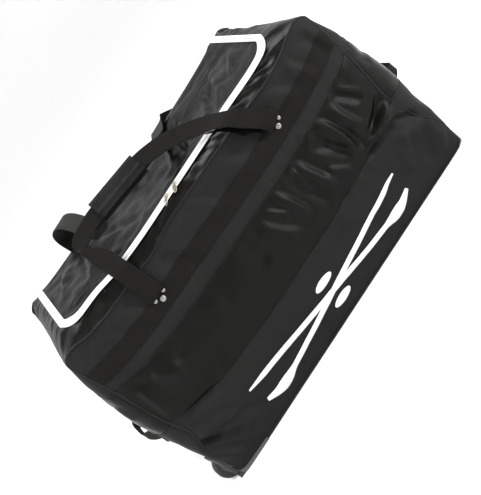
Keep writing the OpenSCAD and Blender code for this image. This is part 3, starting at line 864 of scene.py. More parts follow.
def u_path(grow, count=360):
    """The zip's line, grown outwards: from the left end of the fold round to the right."""
    half, r = ZIP_HALF + grow, CORNER_R + grow
    y0 = ZIP_Y - 1.4 * grow
    leg = np.linspace(FOLD_Y, y0 + r, 60)
    left = np.stack([np.full(60, -half), leg], 1)
    ang = np.linspace(math.pi, 1.5 * math.pi, 24)
    corner = np.stack([-half + r + r * np.cos(ang), y0 + r + r * np.sin(ang)], 1)
    run = np.stack([np.linspace(-half + r, half - r, 180), np.full(180, y0)], 1)
    right = np.concatenate([left, corner, run])
    mirror = (np.concatenate([left, corner]) * [-1, 1])[::-1]
    flat = np.concatenate([right[:-1], mirror])
    keep = np.concatenate([[True], np.linalg.norm(np.diff(flat, axis=0), axis=1) > 1e-6])
    flat = resample(flat[keep], count)
    flat = drawn_in(flat)
    flat[:, 1] += 0.003 * np.sin(flat[:, 0] * 9) * smooth((0.35 - np.abs(flat[:, 0])) / 0.1)
    return flat


def on_top(flat, lift=0.0):
    z = top_height(flat[..., 0], flat[..., 1]) + lift
    return np.concatenate([flat, np.asarray(z)[..., None]], axis=-1)


def zip_ribbon(name, low, high, lift, material, slot, node, body="bag", ribs=False):
    """A strip between two offsets of the zip's line; ribs gives it the coil's teeth."""
    count = 1500 if ribs else 420
    lines = []
    for k in np.linspace(0, 1, 5):
        flat = u_path(low + (high - low) * k, count)
        arch = 4 * k * (1 - k)
        extra = lift + (0.9 * MM * arch if ribs else 0.25 * MM * arch)
        if ribs:
            extra = extra + 0.22 * MM * np.where(np.arange(count) % 2 == 0, 1, -1) * (arch > 0)
        lines.append(on_top(flat, extra))
    grid = np.stack(lines)
    obj = grid_object(name, grid)
    thicken(obj, 0.9 * MM, offset=-1)
    return dress(obj, material, slot, node, body=body)


def lid_grid():
    """Grid over the lid: rows go back from the front edge, and follow its round corners."""
    half, r = ZIP_HALF - 4 * MM, CORNER_R - 4 * MM
    y0 = ZIP_Y + 4 * MM
    phi = np.linspace(0, math.pi / 2, 14)
    back = [r * (1 - math.cos(a)) for a in phi]
    wide = [half - r + r * math.sin(a) for a in phi]
    rest = np.linspace(r, FOLD_Y - y0, 76)[1:]
    back += list(rest)
    wide += [half] * len(rest)
    u = np.linspace(-1, 1, 181)
    y = np.broadcast_to(y0 + np.array(back)[:, None], (len(back), len(u)))
    x = np.array(wide)[:, None] * u[None]
    edge = np.minimum(half - np.abs(x), y - y0)
    flat = drawn_in(np.stack([x, y], -1))
    z = top_height(flat[..., 0], flat[..., 1]) - 1.6 * MM
    return np.concatenate([flat, z[..., None]], -1), edge


LID_FOLDS = [
    ((-0.28, -0.1), (-0.2, 0.12), 0.02, 0.004), ((-0.1, -0.12), (-0.16, 0.1), 0.018, -0.004),
    ((0.02, -0.1), (0.09, 0.1), 0.016, 0.0055), ((0.1, -0.14), (0.12, 0.05), 0.014, 0.005),
    ((0.16, -0.14), (0.22, 0.06), 0.014, -0.005), ((0.2, -0.12), (0.3, 0.1), 0.016, 0.0055),
    ((0.06, 0.02), (0.17, 0.15), 0.016, -0.004), ((-0.33, 0.0), (-0.3, 0.15), 0.016, 0.004),
    ((-0.02, 0.03), (-0.06, 0.16), 0.02, 0.004), ((0.28, -0.1), (0.34, 0.05), 0.014, 0.004),
    ((-0.22, 0.05), (-0.1, 0.15), 0.02, 0.0035), ((0.12, 0.1), (0.3, 0.13), 0.015, 0.004),
    ((-0.35, -0.12), (-0.24, -0.14), 0.013, 0.003), ((0.0, -0.15), (0.15, -0.13), 0.012, 0.003),
]


def puckers(grid, edge, depth=0.0014, reach=0.03):
    """Gathers square to an edge, dying away from it; edge is the distance from it."""
    ripple = waves(grid * np.array([1, 0.3, 0.5]), 0.03, 61, 2)
    return ripple * depth * np.exp(-edge / reach) * smooth(edge / 0.004)


def make_lid():
    grid, edge = lid_grid()
    x, y = grid[..., 0], grid[..., 1]
    out = np.zeros(x.shape)
    for a, b, width, height in LID_FOLDS:
        out += fold(x, y, a, b, width, height * 1.9)
    out += waves(grid, 0.17, 31) * 0.0065 + waves(grid, 0.06, 32, 2) * 0.001
    out *= smooth(edge / 0.045) * smooth((FOLD_Y - y) / 0.03)
    grid[..., 2] += out + puckers(grid, edge, 0.0026)
    obj = grid_object("lid_cloth", grid)
    thicken(obj, TOP_CLOTH)
    # the lid wears the darker satin copy: painted shade on the lid
    return dress(obj, SHADED_LID_SATIN, "satin_fabric", "lid_panel", body=None)


def bend_with_lid(obj):
    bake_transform(obj)


def surround_grid():
    """Grid from the bag-side zip tape out to the top of the walls, from the left end of the
    fold round the front to the right."""
    inner = on_top(u_path(3 * MM, 400), -1.4 * MM)
    rim = np.concatenate([WALL[-1][STARTS["left"]:], WALL[-1][:STARTS["rear"] + 1]])
    i0 = int(np.argmin(np.abs(rim[:40, 1] - FOLD_Y) + np.where(rim[:40, 0] < 0, 0, 9)))
    tail = len(rim) - 40
    i1 = tail + int(np.argmin(np.abs(rim[tail:, 1] - FOLD_Y)))
    rim = rim[i0:i1 + 1]

    def marks(line):
        """Length along a line, and where its two front corners are."""
        run = np.concatenate([[0], np.cumsum(np.linalg.norm(np.diff(line, axis=0), axis=1))])
        left = int(np.argmin(line[:, 0] + line[:, 1]))
        right = int(np.argmin(-line[:, 0] + line[:, 1]))
        return run, left, right

    # the two lines are paired corner by corner
    run_i, li, ri = marks(inner)
    run_o, lo, ro = marks(rim)
    target = np.interp(run_i, [0, run_i[li], run_i[ri], run_i[-1]],
                       [0, run_o[lo], run_o[ro], run_o[-1]])
    outer = np.stack([np.interp(target, run_o, rim[:, k]) for k in range(3)], 1)
    rows = []
    levels = fine_steps(15)
    to_end = smooth((np.abs(inner[:, 0]) - 0.345) / 0.04)[:, None]
    for w in levels:
        p = inner * (1 - w) + outer * w
        # ends roll over a round shoulder, the front runs down a flatter slope
        drop = (w**2.4) * to_end + (w**1.25) * (1 - to_end)
        p[:, 2] = inner[:, 2] * (1 - drop[:, 0]) + outer[:, 2] * drop[:, 0]
        rows.append(p)
    grid = np.stack(rows)
    span = np.linalg.norm(outer - inner, axis=1)[None] * levels[:, None]
    run = np.concatenate([[0], np.cumsum(np.linalg.norm(np.diff(inner, axis=0), axis=1))])
    beside = np.stack([run, 0 * run, 0 * run], -1)[None] + grid * np.array([0, 0, 0.5])
    out = puckers(beside, span, 0.0062, 0.034)
    out += waves(grid, 0.075, 41, 2) * 0.0032 * (np.sin(math.pi * levels) ** 0.7)[:, None]
    # nothing rises under the tape
    out *= smooth((span - 0.0075) / 0.011) * smooth((1 - levels) / 0.12)[:, None]
    n = normals_of(grid)
    n *= np.sign(n[..., 2:3].mean())
    grid = grid + n * out[..., None]
    grid[..., 2] += corner_rise(grid) * smooth((span - 0.0075) / 0.02)
    return grid


def corner_rise(grid):
    """The cloth stands up at the two rear corners of the top."""
    x, y = np.abs(grid[..., 0]), grid[..., 1]
    return 0.012 * np.exp(-(((x - 0.411) / 0.034) ** 2) - ((y - 0.214) / 0.055) ** 2)


def make_top():
    surround = surround_grid()
    obj = grid_object("top_surround_cloth", surround)
    thicken(obj, TOP_CLOTH, offset=1)
    dress(obj, SATIN, "satin_fabric", "front_gusset", "left_gusset", "right_gusset")
    # the strip behind the fold
    left, right = surround[:, 0], surround[:, -1]
    front_edge = np.concatenate([left[::-1], on_top(np.stack(
        [np.linspace(-1, 1, 160) * ZIP_HALF * 0.94, np.full(160, FOLD_Y)], 1), -1.6 * MM), right])
    front_edge = resample(front_edge, 260)
    rim = WALL[-1][STARTS["rear"] - 9:STARTS["left"] + 10][::-1]
    rim = resample(rim, 260)
    rows = []
    for w in fine_steps(7):
        p = front_edge * (1 - w) + rim * w
        p[:, 2] += 0.006 * np.sin(math.pi * w)
        rows.append(p)
    grid = np.stack(rows)
    obj = grid_object("top_rear_cloth", grid)
    thicken(obj, TOP_CLOTH, offset=-1)
    dress(obj, SATIN, "satin_fabric", "rear_gusset")


make_top()
bend_with_lid(make_lid())
bend_with_lid(zip_ribbon("lid_tape", -TAPE_OUT, -1.6 * MM, 0.4 * MM, ZIP_TAPE, "zip_tape",
                         "lid_zip_tape", body=None))
zip_ribbon("bag_tape", 1.6 * MM, TAPE_OUT, 0.4 * MM, ZIP_TAPE, "zip_tape", "bag_zip_tape")
zip_ribbon("zip_teeth", -1.9 * MM, 1.9 * MM, 0.6 * MM, ZIP_COIL, "zip_coil", "zip_coil", ribs=True)

# ------------------------------------------------------------------ piping and web bands


def rim_path(side):
    """The welt's line round a wall: up one seam, along the top, down the other, and back."""
    cols = wall_cols(side)
    up = WALL[:, cols[0]][::-1]
    low = WALL[1][cols]
    down = WALL[:, cols[-1]]
    top = WALL[-1][cols]
    line = np.concatenate([top, down[::-1][1:], low[::-1][1:-1], up[::-1][:-1]])
    return resample(line, 560)


def make_piping(side):
    line = rim_path(side)
    line = np.concatenate([line[-8:], line, line[:8]])
    kernel = np.hanning(7) / np.hanning(7).sum()
    line = np.stack([np.convolve(line[:, k], kernel, "same") for k in range(3)], 1)[8:-9]
    sign = -1 if side == "front" else 1
    line[:, 1] += sign * 1.2 * MM
    line[:, 2] = np.maximum(line[:, 2], 2.6 * MM)
    obj = tube(f"{side}_welt", line, WELT_R, 10, closed=True)
    dress(obj, PIPING, "piping", f"{side}_piping")


make_piping("front")
make_piping("rear")


class Skin:
    """The front or rear wall as a height field: depth and outward normal at any (x, z)."""

    def __init__(self, side):
        part = WALL[:, wall_cols(side)]
        if side == "rear":
            part = part[:, ::-1]
        self.x = np.linspace(-0.446, 0.446, 340)
        self.z = np.linspace(0.004, 0.45, 200)
        self.sign = -1 if side == "front" else 1
        table = np.zeros((len(self.z), len(self.x)))
        for i, z in enumerate(self.z):
            xs = [np.interp(z, part[:, c, 2], part[:, c, 0]) for c in range(part.shape[1])]
            ys = [np.interp(z, part[:, c, 2], part[:, c, 1]) for c in range(part.shape[1])]
            table[i] = np.interp(self.x, xs, ys)
        self.table = table

    def depth(self, x, z):
        u = np.clip((x - self.x[0]) / (self.x[1] - self.x[0]), 0, len(self.x) - 1.001)
        v = np.clip((z - self.z[0]) / (self.z[1] - self.z[0]), 0, len(self.z) - 1.001)
        i, j = v.astype(int), u.astype(int)
        f, g = v - i, u - j
        t = self.table
        return ((t[i, j] * (1 - g) + t[i, j + 1] * g) * (1 - f)
                + (t[i + 1, j] * (1 - g) + t[i + 1, j + 1] * g) * f)

    def at(self, x, z, lift=0.0):
        x, z = np.broadcast_arrays(np.asarray(x, float), np.asarray(z, float))
        d = 0.0025
        sx = (self.depth(x + d, z) - self.depth(x - d, z)) / (2 * d)
        sz = (self.depth(x, z + d) - self.depth(x, z - d)) / (2 * d)
        y = self.depth(x, z)
        n = unit(np.stack([-sx * self.sign, np.full_like(sx, 1.0) * self.sign,
                           -sz * self.sign], -1))
        return np.stack([x, y, z], -1) + n * np.asarray(lift)[..., None], n


SKIN = {"front": Skin("front"), "rear": Skin("rear")}
band_line = spline((-0.45, 0.371), (-0.40, 0.362), (-0.287, 0.352), (-0.1, 0.3485), (0, 0.347),
                   (0.251, 0.348), (0.38, 0.36), (0.45, 0.369))
BAND_W = 0.043


def strip(name, side, x, low, high, lift, thick, rows=7):
    """A flat strip of cloth lying on a wall between two lines."""
    k = np.linspace(0, 1, rows)[:, None]
    z = low[None] * (1 - k) + high[None] * k
    points, _ = SKIN[side].at(np.broadcast_to(x, z.shape), z, lift)
    obj = grid_object(name, points, flip=side == "rear")
    thicken(obj, thick, offset=-1, bevel=0.3 * MM)
    return obj


def seam_row(side, x, z, lift=0.25 * MM):
    return SKIN[side].at(x, z, lift)


def make_bands():
    for side in ("front", "rear"):
        rows = []
        left, right = (-0.4425, 0.4375) if side == "front" else (-0.4055, 0.401)
        x = np.linspace(left, right, 300)
        low = band_line(x)
        obj = strip(f"{side}_band_web", side, x, low, low + BAND_W, 2.2 * MM, 1.5 * MM)
        dress(obj, WEB, "webbing", f"{side}_web_band")
        for z in (low + 1.8 * MM, low + BAND_W - 1.8 * MM):
            rows.append(seam_row(side, x, z, 2.5 * MM))
        for line in (high_seam(x) + 3 * MM, high_seam(x) + 8 * MM, high_seam(x) - 3 * MM,
                     low_seam(x) + 3 * MM, low_seam(x) - 3 * MM):
            if side == "rear":
                line = line + 0.012
            rows.append(seam_row(side, x, line, 0.35 * MM))
        stitches(f"{side}_wall_stitches", rows, THREAD, "bag")


make_bands()


# ------------------------------------------------------------------ carry handles

LEG_LEFT, LEG_RIGHT = -0.222, 0.218
WEB_Y = 0.2405
KNEE_Z = 0.47
LEAN = math.radians(48)
UP_SLOPE = np.array([0, math.sin(LEAN), math.cos(LEAN)])
OUT_FACE = np.array([0, -math.cos(LEAN), math.sin(LEAN)])
WEB_W, WEB_T = 0.0445, 0.0022
FOOT_Z = 0.3915


def on_slope(x, s, back=0.0):
    return np.array([x, -WEB_Y + 0.003, KNEE_Z]) + s * UP_SLOPE - back * OUT_FACE


OUT_FRONT, OUT_REAR, UP = np.array([0, -1.0, 0]), np.array([0, 1.0, 0]), np.array([0, 0, 1.0])
GRIP = (-0.078, 0.141)
GRIP_TURN = math.radians(-7)
CUFF_HALF = (0.0695, 0.0262)
ALONG_GRIP = np.array([math.cos(GRIP_TURN), 0, 0]) + math.sin(GRIP_TURN) * UP_SLOPE
ACROSS_GRIP = np.array([-math.sin(GRIP_TURN), 0, 0]) + math.cos(GRIP_TURN) * UP_SLOPE
LEG_LINE = [(LEG_LEFT, -WEB_Y, FOOT_Z - 0.006), (LEG_LEFT, -WEB_Y - 0.001, 0.425),
            (LEG_LEFT, -WEB_Y + 0.001, 0.456), on_slope(-0.2218, 0.008),
            on_slope(-0.2215, 0.045), on_slope(-0.2215, 0.074), on_slope(-0.2275, 0.098),
            on_slope(-0.2345, 0.120), on_slope(-0.2385, 0.134)]
FRONT_LINE = [on_slope(-0.2385, 0.121, 0.0016), on_slope(-0.229, 0.135, 0.0016),
              on_slope(-0.209, 0.1445, 0.0016), on_slope(-0.178, 0.1478, 0.0012),
              on_slope(-0.150, 0.1475), on_slope(*GRIP), on_slope(-0.008, 0.132),
              on_slope(0.040, 0.114), on_slope(0.076, 0.093), on_slope(0.108, 0.067),
              on_slope(0.137, 0.040), on_slope(0.161, 0.013), (0.181, -WEB_Y - 0.003, 0.454),
              (0.198, -WEB_Y - 0.005, 0.43), (0.2115, -WEB_Y - 0.003, 0.408),
              (LEG_RIGHT, -WEB_Y, FOOT_Z - 0.006)]
BACK = 0.007
REAR_LINE = [(LEG_LEFT, WEB_Y, FOOT_Z - 0.006), (LEG_LEFT, WEB_Y, 0.445),
             (-0.223, WEB_Y - 0.001, 0.49), (-0.224, WEB_Y - 0.012, 0.526),
             (-0.219, 0.190, 0.556), (-0.210, 0.150, 0.571), (-0.201, 0.100, 0.5775),
             (-0.194, 0.050, 0.577), (-0.189, 0.0, 0.572), (-0.186, -0.045, 0.565),
             (-0.183, -0.084, 0.558), on_slope(-0.176, 0.124, BACK),
             on_slope(-0.160, 0.146, BACK), on_slope(-0.130, 0.146, BACK),
             on_slope(GRIP[0], GRIP[1], BACK), on_slope(-0.026, 0.135, BACK),
             on_slope(0.006, 0.131, BACK), (0.034, -0.075, 0.543), (0.058, -0.010, 0.5275),
             (0.078, 0.055, 0.5125), (0.094, 0.115, 0.5035), (0.107, 0.170, 0.4985),
             (0.120, 0.209, 0.4955), (0.142, WEB_Y - 0.004, 0.481), (0.180, WEB_Y, 0.457),
             (0.216, WEB_Y, 0.428), (LEG_RIGHT, WEB_Y, 0.410),
             (LEG_RIGHT, WEB_Y, FOOT_Z - 0.006)]


def with_faces(line, faces, step=3.5 * MM):
    """Smooths a strap's points and its outward directions together."""
    both = np.hstack([np.array(line, float), np.array(faces, float)])
    fine = catmull(both, step)
    return fine[:, :3], unit(fine[:, 3:])


def handle_faces(line, side):
    """Outward directions: off the wall on the legs, off the leaning plane above them."""
    out = []
    for x, y, z in line:
        if side == "front":
            t = smooth((z - 0.445) / 0.035)
            tilt = np.array([0.32 * smooth((x - 0.09) / 0.07) * smooth((z - 0.40) / 0.05), 0, 0])
            out.append(unit(OUT_FRONT * (1 - t) + OUT_FACE * t + tilt))
        else:
            wall = smooth((y - 0.2) / 0.035) if z < 0.54 else 0.5 * smooth((y - 0.17) / 0.05)
            cuff = smooth((-0.055 - y) / 0.05)
            flat = UP + 0.2 * OUT_REAR * smooth(x / 0.05)
            out.append(unit(OUT_REAR * wall + (flat * (1 - cuff) + OUT_FACE * cuff) * (1 - wall)))
    return out


def edge_rows(path, face, width, inset=2.2 * MM, lift=WEB_T / 2 + 0.1 * MM, both=True):
    t = unit(np.gradient(path, axis=0))
    a = unit(np.cross(t, face))
    o = np.cross(a, t)
    rows = []
    for k in (-1, 1):
        for s in ((1, -1) if both else (1,)):
            reach = np.reshape(np.maximum(width / 2 - inset, 0), (-1, 1))
            rows.append((path + a * k * reach + o * lift * s, o * s))
    return rows


def hang(obj, side):
    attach(obj, f"{side}_handle")
    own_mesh(obj)


def quilted(name, low, high):
    """A soft pad of the cuff between two depths, crowned, with quilting and turned edges."""
    half_l, half_w = CUFF_HALF
    u, v = np.meshgrid(np.linspace(-1, 1, 61), np.linspace(-1, 1, 29))
    crown = (1 - np.abs(u) ** 6) * (1 - np.abs(v) ** 5)
    quilt = 1 - 0.35 * np.abs(np.cos(u * math.pi * 3)) ** 12 - 0.2 * np.abs(np.cos(v * 4.7)) ** 12
    wobble = waves(np.stack([u * 0.07, v * 0.03, 0 * u], -1), 0.02, 77, 2)
    centre = on_slope(*GRIP)
    sheets = []
    mid, deep = (low + high) / 2, (high - low) / 2
    for sign in (1, -1):
        h = mid + sign * deep * (0.35 + 0.65 * crown * quilt) + wobble * 0.0006 * crown
        sheets.append(centre + u[..., None] * half_l * ALONG_GRIP + v[..., None] * half_w * ACROSS_GRIP
                      + h[..., None] * OUT_FACE)
    rows, cols = u.shape
    verts = np.concatenate([q.reshape(-1, 3) for q in sheets])
    faces = []
    n = rows * cols
    for r in range(rows - 1):
        for c in range(cols - 1):
            a = r * cols + c
            faces += [(a, a + 1, a + cols + 1, a + cols), (n + a, n + a + cols, n + a + cols + 1,
                                                           n + a + 1)]
    rim = ([c for c in range(cols)] + [r * cols + cols - 1 for r in range(1, rows)]
           + [(rows - 1) * cols + c for c in range(cols - 2, -1, -1)]
           + [r * cols for r in range(rows - 2, 0, -1)])
    for i, a in enumerate(rim):
        b = rim[(i + 1) % len(rim)]
        faces.append((a, n + a, n + b, b))
    uvs = np.tile(np.stack([(u * half_l).ravel(), (v * half_w).ravel()], 1), (2, 1))
    return mesh_object(name, verts, faces, uvs)


def make_straps():
    """The three runs of carry webbing; the front one is in two, where it folds over."""
    for name, side, line in (("front_strap", "front", FRONT_LINE),
                             ("front_strap_leg", "front", LEG_LINE),
                             ("rear_strap", "rear", REAR_LINE)):
        path, face = with_faces(line, handle_faces(line, side))
        width = np.full(len(path), WEB_W)
        if name == "front_strap_leg":
            run = np.linalg.norm(path - path[-1], axis=1)
            width *= np.clip(0.1 + run / 0.062, 0, 1)
        elif name == "front_strap":
            run = np.linalg.norm(path - path[0], axis=1)
            width *= np.clip(0.42 + run / 0.045, 0, 1)
        obj = ribbon(name, path, face, width, WEB_T)
        dress(obj, WEB, "webbing", f"{side}_handle_web", body=None)
        hang(obj, side)
        thread = stitches(f"{name}_stitches", edge_rows(path, face, width), THREAD,
                          f"{side}_handle", pitch=5 * MM, length=3.6 * MM, r=0.3 * MM)
        hang(thread, side)


def make_strap_shade():
    """A near-black sheet by the front strap's right leg, where its edge curls back: painted shade for
    the shadow under it.
    """
    curl = [(0.189, -WEB_Y - 0.001, 0.3985), (0.1835, -WEB_Y - 0.003, 0.411),
            (0.173, -WEB_Y - 0.005, 0.428), (0.155, -WEB_Y - 0.003, 0.450),
            on_slope(0.136, 0.008, 0.001), on_slope(0.114, 0.032, 0.001)]
    path, face = with_faces(curl, [OUT_FRONT + 0.5 * UP] * 3 + [OUT_FACE] * 3)
    obj = ribbon("front_strap_shade_curl", path, face,
                 0.002 + 0.030 * np.sin(np.linspace(0.35, math.pi, len(path))), WEB_T)
    # near black: painted shade for the shadow under the strap's curled edge
    hang(dress(obj, STRAP_SHADE, "webbing", body=None), "front")


def make_cuff():
    """The padded cuff: a half round each handle, and the flap that closes it."""
    front = quilted("cuff_front", 1.6 * MM, 7.4 * MM)
    rear = quilted("cuff_rear", -BACK - 7.2 * MM, -BACK - 1.6 * MM)
    for obj, side in ((front, "front"), (rear, "rear")):
        dress(obj, CUFF, "satin_fabric", f"grip_{side}_pad", body=None)
        hang(obj, side)
    u, v = np.meshgrid(np.linspace(-0.069, 0.069, 50), np.linspace(-0.0125, 0.0255, 14))
    arc = 0.0068 + 0.0022 * np.exp(-((v + 0.011) / 0.004) ** 2)
    arc = arc - 0.0045 * smooth((v - 0.02) / 0.008)
    arc = arc + 0.0006 * waves(np.stack([u, v, 0 * u], -1), 0.03, 78, 2)
    sheet = (on_slope(*GRIP) + u[..., None] * ALONG_GRIP + v[..., None] * ACROSS_GRIP
             + arc[..., None] * OUT_FACE)
    flap = grid_object("cuff_flap", sheet)
    thicken(flap, 1.3 * MM, bevel=0.3 * MM)
    hang(dress(flap, CUFF, "satin_fabric", body=None), "front")
    n = np.broadcast_to(OUT_FACE, sheet[2].shape)
    lifted = sheet + OUT_FACE * MM
    rows = [(lifted[2], n), (lifted[11], n), (lifted[1:13, 2], n[:12]), (lifted[1:13, -3], n[:12])]
    hang(stitches("cuff_stitches", rows, THREAD, "front_handle"), "front")


make_straps()
make_strap_shade()
make_cuff()


# each foot's rivets: across from its middle, height, radius of the head
LARGE_HEAD, SMALL_HEAD = 6.6 * MM, 4.6 * MM
RIVETS = [(0, 0.3725, LARGE_HEAD), (-0.0145, 0.3825, SMALL_HEAD), (0.0145, 0.3825, SMALL_HEAD)]


def make_anchors():
    """The ends of the carry webs under the bands, and the rivets through them."""
    heads = []
    for side in ("front", "rear"):
        for k, x0 in enumerate((LEG_LEFT, LEG_RIGHT)):
            x = np.linspace(x0 - WEB_W / 2, x0 + WEB_W / 2, 12)
            obj = strip(f"{side}_anchor_{k}", side, x, np.full(12, 0.353), np.full(12, 0.3905),
                        1.2 * MM, 1.4 * MM, 10)
            dress(obj, WEB, "webbing", "handle_anchors")
            for dx, z, r in RIVETS:
                p, n = SKIN[side].at(np.array([x0 + dx]), np.array([z]), 2.2 * MM)
                dome = [(r * math.cos(a), 0.3 * MM + 2.1 * MM * math.sin(a))
                        for a in np.linspace(0, 1.35, 7)]
                prof = [(r, -0.6 * MM), (r * 1.04, 0.1 * MM)] + dome
                heads.append((r == LARGE_HEAD, lathe(prof, p[0], n[0], 28)))
    for big, name in ((True, "large_rivets"), (False, "small_rivets")):
        obj = merged(f"{name}_domes", [h for b, h in heads if b == big])
        dress(obj, RIVET, "nickel", name)


make_anchors()


def make_graphic():
    """A plain pale print of two crossed sticks and two pucks on the lower front."""
    parts = []

    def blot(lines):
        pts, _ = SKIN["front"].at(lines[..., 0], lines[..., 1], 0.45 * MM)
        rows, cols = pts.shape[:2]
        parts.append((pts.reshape(-1, 3), [(r * cols + c, r * cols + c + 1,
                                            (r + 1) * cols + c + 1, (r + 1) * cols + c)
                                           for r in range(rows - 1) for c in range(cols - 1)]))

    for sign in (-1, 1):
        path = catmull([(sign * 0.283, 0.101, 0), (sign * 0.12, 0.0815, 0),
                        (-sign * 0.10, 0.0535, 0), (-sign * 0.185, 0.0435, 0),
                        (-sign * 0.212, 0.0405, 0), (-sign * 0.243, 0.0425, 0),
                        (-sign * 0.276, 0.0535, 0)], 3 * MM)[:, :2]
        t = unit(np.gradient(path, axis=0))
        n = np.stack([-t[:, 1], t[:, 0]], 1)
        heel = smooth((0.065 - np.abs(path[:, 0] + sign * 0.243)) / 0.04)
        half = 0.0062 + 0.0058 * heel * (path[:, 0] * sign < 0)
        tip = np.linspace(0, 1, len(path))
        half = half * np.minimum(1, 0.35 + 8 * np.minimum(tip, 1 - tip))
        blot(np.stack([path + n * half[:, None] * k for k in np.linspace(-1, 1, 5)]))
    ang = np.linspace(0, 2 * math.pi, 49)
    for cx, cz, a, b in ((0.0, 0.0965, 0.028, 0.0095), (0.0, 0.0385, 0.028, 0.0095)):
        blot(np.stack([np.stack([cx + a * k * np.cos(ang), cz + b * k * np.sin(ang)], 1)
                       for k in np.linspace(0.02, 1, 5)]))
    obj = merged("front_print", parts)
    thicken(obj, 0.25 * MM, offset=0)
    dress(obj, PRINT, "zip_tape")


make_graphic()


def on_wall(across, up, axis, sign, beyond):
    """The cloth's coordinate along axis (0 or 1) nearest to a place on that wall."""
    other = 1 - axis
    cloth = WALL.reshape(-1, 3)
    cloth = cloth[cloth[:, axis] * sign > beyond]
    k = np.argmin((cloth[:, other] - across) ** 2 + (cloth[:, 2] - up) ** 2)
    return float(cloth[k, axis])


def make_corner_trims():
    """The moulded edges along the two lower corners, and the lips round the wheels."""
    for side, sign in (("front", -1), ("rear", 1)):
        line = [(-0.4535, 0.058), (-0.4545, 0.036), (-0.4475, 0.017), (-0.431, 0.0075),
                (-0.405, 0.0048), (-0.37, 0.0042), (-0.345, 0.0036)]
        path = catmull([(x, on_wall(x, z, 1, sign, 0.212) + sign * 0.0022, z)
                        for x, z in line], 3 * MM)
        lean = smooth((path[:, 0] + 0.425) / 0.03)[:, None]
        face = unit(lean * np.array([0, sign, 0]) + (1 - lean) * np.array([-0.7, 0.7 * sign, 0]))
        t = np.linspace(0, 1, len(path))
        obj = ribbon(f"{side}_corner_trim", path, face, 0.0105 - 0.004 * t, 5 * MM)
        dress(obj, TRIM, "housing_plastic")
        low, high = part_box(f"{side}_tyre")
        a, b, top = low.y - 0.006, high.y + 0.006, high.z + 0.007
        lip = [(a, 0.010), (a, top * 0.5), (a, top - 0.014), (a + 0.009, top), (b - 0.009, top),
               (b, top - 0.014), (b, top * 0.5), (b, 0.010)]
        path = catmull([(on_wall(y, z, 0, -1, 0.40) - 0.0015, y, z) for y, z in lip], 2 * MM)
        face = np.tile(np.array([-1.0, 0, 0]), (len(path), 1))
        obj = ribbon(f"{side}_wheel_lip", path, face, 0.009, 6 * MM)
        dress(obj, TRIM, "housing_plastic")


make_corner_trims()


GRAB_Z = 0.168
RIGHT_GRAB_REACH = 0.529


def make_end_handles():
    """The grab handles: a web sewn flat at both ends, standing off the wall between them."""
    for side, name in ((-1, "left"), (1, "right")):
        reach = RIGHT_GRAB_REACH if side > 0 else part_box(f"{name}_end_handle")[0].x
        part = WALL[:, wall_cols(name)]
        row = part[int(np.argmin(np.abs(part[:, part.shape[1] // 2, 2] - GRAB_Z)))]
        row = row[np.argsort(row[:, 1])]
        skin = [np.interp(y, row[:, 1], row[:, 0]) for y in (0.135, 0.095, -0.095, -0.135)]
        out = reach - side * 0.003
        base = max(abs(v) for v in skin) * side + side * 0.0015
        line = [(skin[0] + side * 0.002, 0.135), (skin[1] + side * 0.002, 0.1),
                ((base * 0.6 + out * 0.4), 0.079), (out - side * 0.003, 0.055), (out, 0.03),
                (out, -0.03), (out - side * 0.003, -0.055), ((base * 0.6 + out * 0.4), -0.079),
                (skin[2] + side * 0.002, -0.1), (skin[3] + side * 0.002, -0.135)]
        path = catmull([(x, y, GRAB_Z + 0.003 * math.cos(y * 20)) for x, y in line], 3 * MM)
        face = np.tile(np.array([float(side), 0, 0]), (len(path), 1))
        width = 0.024 + 0.012 * smooth((np.abs(path[:, 1]) - 0.05) / 0.03)
        obj = ribbon(f"{name}_grab_web", path, face, width, 2.4 * MM)
        dress(obj, WEB, "webbing", f"{name}_end_handle")
        keep = np.abs(path[:, 1]) < 0.062
        lip = path[keep] + np.array([-side * 0.0028, 0, 0.001])
        obj = ribbon(f"{name}_grab_fold", lip, face[keep], 0.021, 2.2 * MM)
        dress(obj, WEB, "webbing")
        stitches(f"{name}_grab_stitches", edge_rows(path, face, 0.026, 3 * MM, 1.35 * MM, False),
                 THREAD, "bag")


make_end_handles()


def slider_body(cx, y0, z0):
    """A slider's rounded body, as stacked outlines, and the bridge over it."""
    outline = [(-8, 0), (-7.2, 2.6), (-5, 4.6), (0, 5), (4, 4.2), (7.4, 2.8), (8, 0)]
    outline = outline + [(x, -y) for x, y in outline[-2:0:-1]]
    ring = np.array(outline) * MM
    verts, faces = [], []
    layers = ((0.92, 0.2), (1, 0.8), (1, 2.1), (0.9, 2.8), (0.55, 3.1), (0.05, 3.2))
    for k, h in layers:
        verts += [np.array([cx + px * k, y0 + py * k, z0 + h * MM]) for px, py in ring]
    n = len(ring)
    for i in range(len(layers) - 1):
        for j in range(n):
            faces.append((i * n + j, i * n + (j + 1) % n, (i + 1) * n + (j + 1) % n,
                          (i + 1) * n + j))
    arch = np.array([(-5.6, -1, 2.6), (-4.4, -1.4, 4.9), (0, -1.6, 5.6), (4.4, -1.4, 4.9),
                     (5.6, -1, 2.6)]) * MM + [cx, y0, z0]
    bridge = tube("bridge", catmull(arch, 1 * MM), 0.95 * MM, 8)
    bridge_verts = [v.co.copy() for v in bridge.data.vertices]
    bridge_faces = [tuple(q.vertices) for q in bridge.data.polygons]
    bpy.data.objects.remove(bridge)
    return [(verts, faces), (bridge_verts, bridge_faces)]


